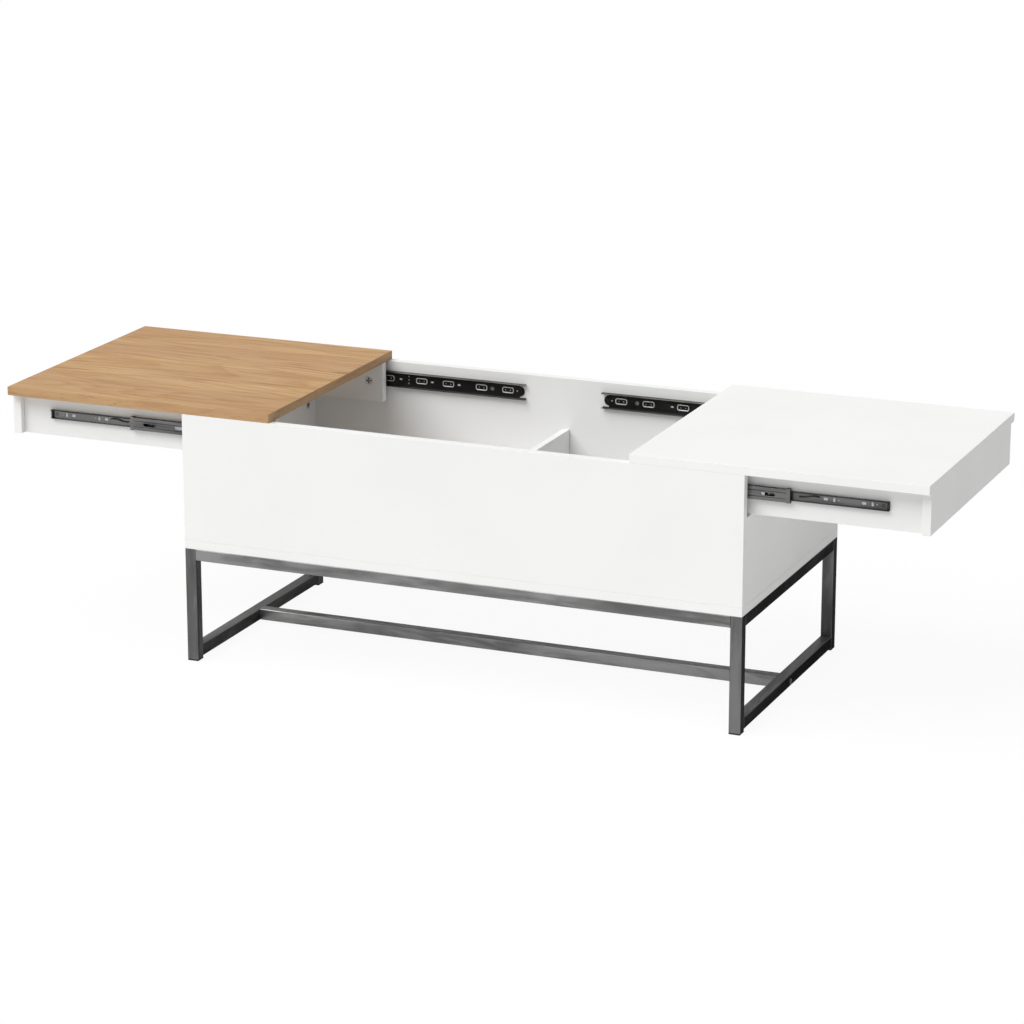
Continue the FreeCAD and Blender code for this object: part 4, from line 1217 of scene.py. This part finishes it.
    def build_mid(self, where: SlidePlace, materials: list[Material]) -> None:
        """Roll a middle member with pressed grooves darkened by painted shade, slots and a collar at its
        outer end.

        Args:
            where: place of the slide.
            materials: finishes of the web and of the grooves' painted shade.
        """
        near, far = where.span("mid")
        form = SheetForm()
        form.strip(near, far, self.mid_edge)
        for share in self.mid_slot_shares:
            form.pierce(Opening(far - (far - near) * share, *self.mid_slot), LONG_STEPS)
        form.fill(self.mid_web)
        form.press((-self.mid_groove, self.mid_groove), self.groove_half, self.groove_depth)
        form.roll(self.mid_edge, self.mid_profile)
        form.thicken(self.sheet, Outlook.TO_PANEL)
        # Painted shade: the groove floors take the dark race colour.
        low, high = self.mid_groove - self.groove_half, self.mid_groove + self.groove_half
        form.mark(Coat.TRIM, lambda middle: low < abs(middle.z) < high)
        collar = SheetForm()
        rise = self.mid_edge + self.collar_rise
        collar.strip(far - self.collar_length, far, rise)
        collar.fill(self.mid_web - self.collar_lift)
        collar.roll(rise, [(depth, height + self.collar_rise) for depth, height in self.mid_profile])
        collar.thicken(self.sheet, Outlook.TO_PANEL)
        form.take(collar)
        self.fit(form, where, "mid_member", "mid", f"{where.side.word}_mid_slides", materials)

    def build_inner(self, where: SlidePlace, materials: list[Material]) -> None:
        """Roll an inner member with groups of a dot, an oval and a slot, and a rivet at its outer end.

        Args:
            where: place of the slide.
            materials: finishes of the web and of the races' painted shade.
        """
        near, far = where.span("inner")
        form = SheetForm()
        form.strip(near, far, self.inner_edge)
        for place in self.group_places:
            start = far - place
            form.pierce(Opening(start, self.dot_size, self.dot_size))
            form.pierce(Opening(start - self.oval_step, *self.oval_size), SLOT_STEPS)
            form.pierce(Opening(start - self.hole_step, *self.hole_size), SLOT_STEPS)
        form.pierce(Opening(far - self.screw_place, self.screw_hole, self.screw_hole))
        form.fill(self.inner_web)
        form.roll(self.inner_edge, self.inner_profile)
        form.thicken(self.sheet, Outlook.FROM_PANEL)
        # Painted shade: the flanges, whose ledges would catch light, take the dark race colour.
        form.mark(Coat.TRIM, lambda middle: abs(middle.z) > self.inner_edge)
        # The rivet's rim takes the same dark colour.
        foot = self.inner_web - self.sheet + self.bead_sink
        form.bead(Opening(far - self.rivet_place, self.rivet_size, self.rivet_size), self.rivet_size / 2,
                  self.rivet_rim, foot, foot - self.rivet_rise, Coat.TRIM)
        self.fit(form, where, "inner_member", "inner", f"{where.side.word}_top", materials)

    def fit(self, form: SheetForm, where: SlidePlace, word: str, kind: str, body: str,
            materials: list[Material]) -> None:
        """Set a rolled member in the place of its CAD node."""
        finish_piece(f"{where.stem}_{word}", form.place(where), materials, body,
                     [f"{where.stem}_{kind}_slide"])

    def build_lever(self, where: SlidePlace, materials: list[Material]) -> None:
        """Shape the curved release lever that lies in an inner member.

        Args:
            where: place of the slide.
            materials: finish of the lever.
        """
        form = SheetForm()
        root = where.span("inner")[1] - self.lever_place
        along, rise = self.lever_run[0]
        form.trace([(root - along, rise - self.lever_half), (root - along, rise + self.lever_half)])
        edges = form.mesh.edges[:]
        for along, rise in self.lever_run[1:]:
            made = bmesh.ops.extrude_edge_only(form.mesh, edges=edges)["geom"]
            ends = [item for item in made if isinstance(item, bmesh.types.BMVert)]
            edges = [item for item in made if isinstance(item, bmesh.types.BMEdge)
                     and all(mark in ends for mark in item.verts)]
            middle = sum(mark.co.z for mark in ends) / len(ends)
            for mark in ends:
                mark.co.x = root - along
                mark.co.z += rise - middle
        bmesh.ops.translate(form.mesh, verts=form.mesh.verts, vec=(0.0, self.lever_depth, 0.0))
        form.thicken(self.lever_sheet, Outlook.FROM_PANEL)
        finish_piece(f"{where.stem}_release_lever", form.place(where), materials, f"{where.side.word}_top")

    def build_stop(self, where: SlidePlace, materials: list[Material]) -> None:
        """Mould the rounded plastic stop in the outer end of an inner member.

        Args:
            where: place of the slide.
            materials: finish of the stop.
        """
        far = where.span("inner")[1]
        form = SheetForm()
        loop = form.rounded(Opening(0.0, *self.stop_size), self.stop_corner, steps=SLOT_STEPS)
        bmesh.ops.rotate(form.mesh, verts=form.mesh.verts, cent=(0.0, 0.0, 0.0),
                         matrix=Matrix.Rotation(math.pi / 2, 3, "Z"))
        cap = bmesh.ops.contextual_create(form.mesh, geom=loop)["faces"]
        grown = bmesh.ops.extrude_face_region(form.mesh, geom=cap, use_keep_orig=True)["geom"]
        moved = [item for item in grown if isinstance(item, bmesh.types.BMVert)]
        bmesh.ops.translate(form.mesh, verts=moved, vec=(self.stop_length, 0.0, 0.0))
        rims = [edge for edge in form.mesh.edges
                if abs(edge.verts[0].co.x - edge.verts[1].co.x) < SAME_PLACE]
        bmesh.ops.bevel(form.mesh, geom=rims, offset=self.stop_easing, segments=self.stop_facets,
                        profile=0.5, affect="EDGES", material=-1)
        bmesh.ops.translate(form.mesh, verts=form.mesh.verts,
                            vec=(far - self.stop_length, self.stop_depth, 0.0))
        finish_piece(f"{where.stem}_end_stop", form.place(where), materials, f"{where.side.word}_top")


@dataclass
class SlidingTop:
    """One half top: a board on two rails and an apron."""

    side: Side
    board_finish: Finish
    rail_finish: CoatedBoard = CoatedBoard("white_coated_rail")
    # The cams' cross slots are darkened by painted shade.
    cams: CastMetal = CastMetal("cast_zinc_rail_cam", grey(0.5), grey(0.68), grey(0.75), pit=0.004)
    bolts: CastMetal = CastMetal("plated_cam_bolt", grey(0.3), grey(0.5))

    def build(self) -> None:
        """Dress the top's boards and fittings."""
        word = self.side.word
        dress([f"{word}_top_board"], self.board_finish.material())
        dress([f"{word}_front_top_rail", f"{word}_rear_top_rail", f"{word}_apron"],
              self.rail_finish.material())
        dress([f"{word}_cam_locks"], self.cams.material())
        dress([f"{word}_cam_bolts"], self.bolts.material())


@dataclass
class Studio:
    """Plain white studio: floor, soft key lamp, even world light and the camera."""

    floor_half: float = 40.0
    floor_colour: Colour = (0.86, 0.86, 0.86, 1.0)
    floor_glow: float = 0.93
    floor_mirrored: float = 0.2
    room_mirrored: float = 1.0
    world_level: float = 0.36
    key_level: float = 2.9
    key_spread: float = math.radians(50.0)
    key_from: Vector = field(default_factory=lambda: Vector((-0.35, -0.46, 0.8)))
    target: Vector = field(default_factory=lambda: Vector((-0.0019, 0.0, 0.2536)))
    azimuth: float = math.radians(22.7652)
    elevation: float = math.radians(16.0674)
    distance: float = 6.1818
    lens: float = 127.63

    def build(self) -> None:
        """Make the floor, the lights and the camera."""
        self.build_floor()
        self.build_world()
        self.build_key()
        self.build_camera()

    def build_floor(self) -> None:
        """Lay a wide pale floor that keeps the shadow and looks white to the camera."""
        mesh = bmesh.new()
        bmesh.ops.create_grid(mesh, x_segments=1, y_segments=1, size=self.floor_half)
        data = bpy.data.meshes.new("studio_floor")
        mesh.to_mesh(data)
        mesh.free()
        floor = bpy.data.objects.new("studio_floor", data)
        bpy.context.scene.collection.objects.link(floor)
        material = bpy.data.materials.new("studio_paper")
        material.use_nodes = True
        graph = Graph(material.node_tree)
        paper = graph.add("BsdfDiffuse", {"Color": self.floor_colour})
        glow = graph.add("Emission", {"Color": grey(1.0), "Strength": 1.0})
        share = graph.math("MULTIPLY", self.shown_rays(graph, self.floor_mirrored), self.floor_glow)
        both = graph.add("MixShader", {0: share, 1: paper.outputs["BSDF"], 2: glow.outputs["Emission"]})
        graph.add("OutputMaterial", {"Surface": both.outputs["Shader"]})
        data.materials.append(material)

    def shown_rays(self, graph: Graph, mirrored: float) -> Socket:
        """Mask of the rays that show the background: seen, mirrored or through glass.

        Args:
            graph: node tree of the floor or the world.
            mirrored: share of the white that reflections show, so that they can keep a shadow.

        Returns:
            The socket of the mask.
        """
        path = graph.add("LightPath")
        glossy = graph.math("MULTIPLY", path.outputs["Is Glossy Ray"], mirrored)
        beyond = graph.math("MAXIMUM", glossy, path.outputs["Is Transmission Ray"])
        return graph.math("MAXIMUM", path.outputs["Is Camera Ray"], beyond)

    def build_world(self) -> None:
        """Light the room evenly, and show it white to the camera and in reflections."""
        world = bpy.data.worlds.new("studio_room")
        world.use_nodes = True
        graph = Graph(world.node_tree)
        seen = self.shown_rays(graph, self.room_mirrored)
        room = graph.add("Background", {"Color": grey(1.0), "Strength": self.world_level})
        backdrop = graph.add("Background", {"Color": grey(1.0), "Strength": 1.0})
        both = graph.add("MixShader", {0: seen, 1: room.outputs["Background"],
                                       2: backdrop.outputs["Background"]})
        graph.add("OutputWorld", {"Surface": both.outputs["Shader"]})
        bpy.context.scene.world = world

    def build_key(self) -> None:
        """Set a wide soft light in front, to the left and above."""
        lamp = bpy.data.lights.new("key_softbox", "SUN")
        lamp.energy = self.key_level
        lamp.angle = self.key_spread
        holder = bpy.data.objects.new("key_softbox", lamp)
        holder.location = self.target + self.key_from * self.distance
        holder.rotation_euler = (-self.key_from).to_track_quat("-Z", "Y").to_euler()
        bpy.context.scene.collection.objects.link(holder)

    def build_camera(self) -> None:
        """Set the camera at the viewing angle."""
        back = Vector((math.sin(self.azimuth) * math.cos(self.elevation),
                       -math.cos(self.azimuth) * math.cos(self.elevation),
                       math.sin(self.elevation)))
        data = bpy.data.cameras.new("viewing_camera")
        data.lens = self.lens
        camera = bpy.data.objects.new("viewing_camera", data)
        camera.location = self.target + back * self.distance
        camera.rotation_euler = (-back).to_track_quat("-Z", "Y").to_euler()
        bpy.context.scene.collection.objects.link(camera)
        bpy.context.scene.camera = camera


def main() -> None:
    """Build the sub-assemblies and the studio."""
    logging.basicConfig(level=logging.INFO, format="%(message)s")
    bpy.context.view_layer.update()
    bpy.context.scene.view_settings.view_transform = "Standard"
    Cabinet().build()
    TubeFrame().build()
    SlideSet().build()
    SlidingTop(Side.LEFT, OakDecor("golden_oak_decor")).build()
    SlidingTop(Side.RIGHT, CoatedBoard("white_coated_top")).build()
    Studio().build()
    bpy.context.view_layer.update()


if __name__ == "__main__":
    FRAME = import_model()
    main()
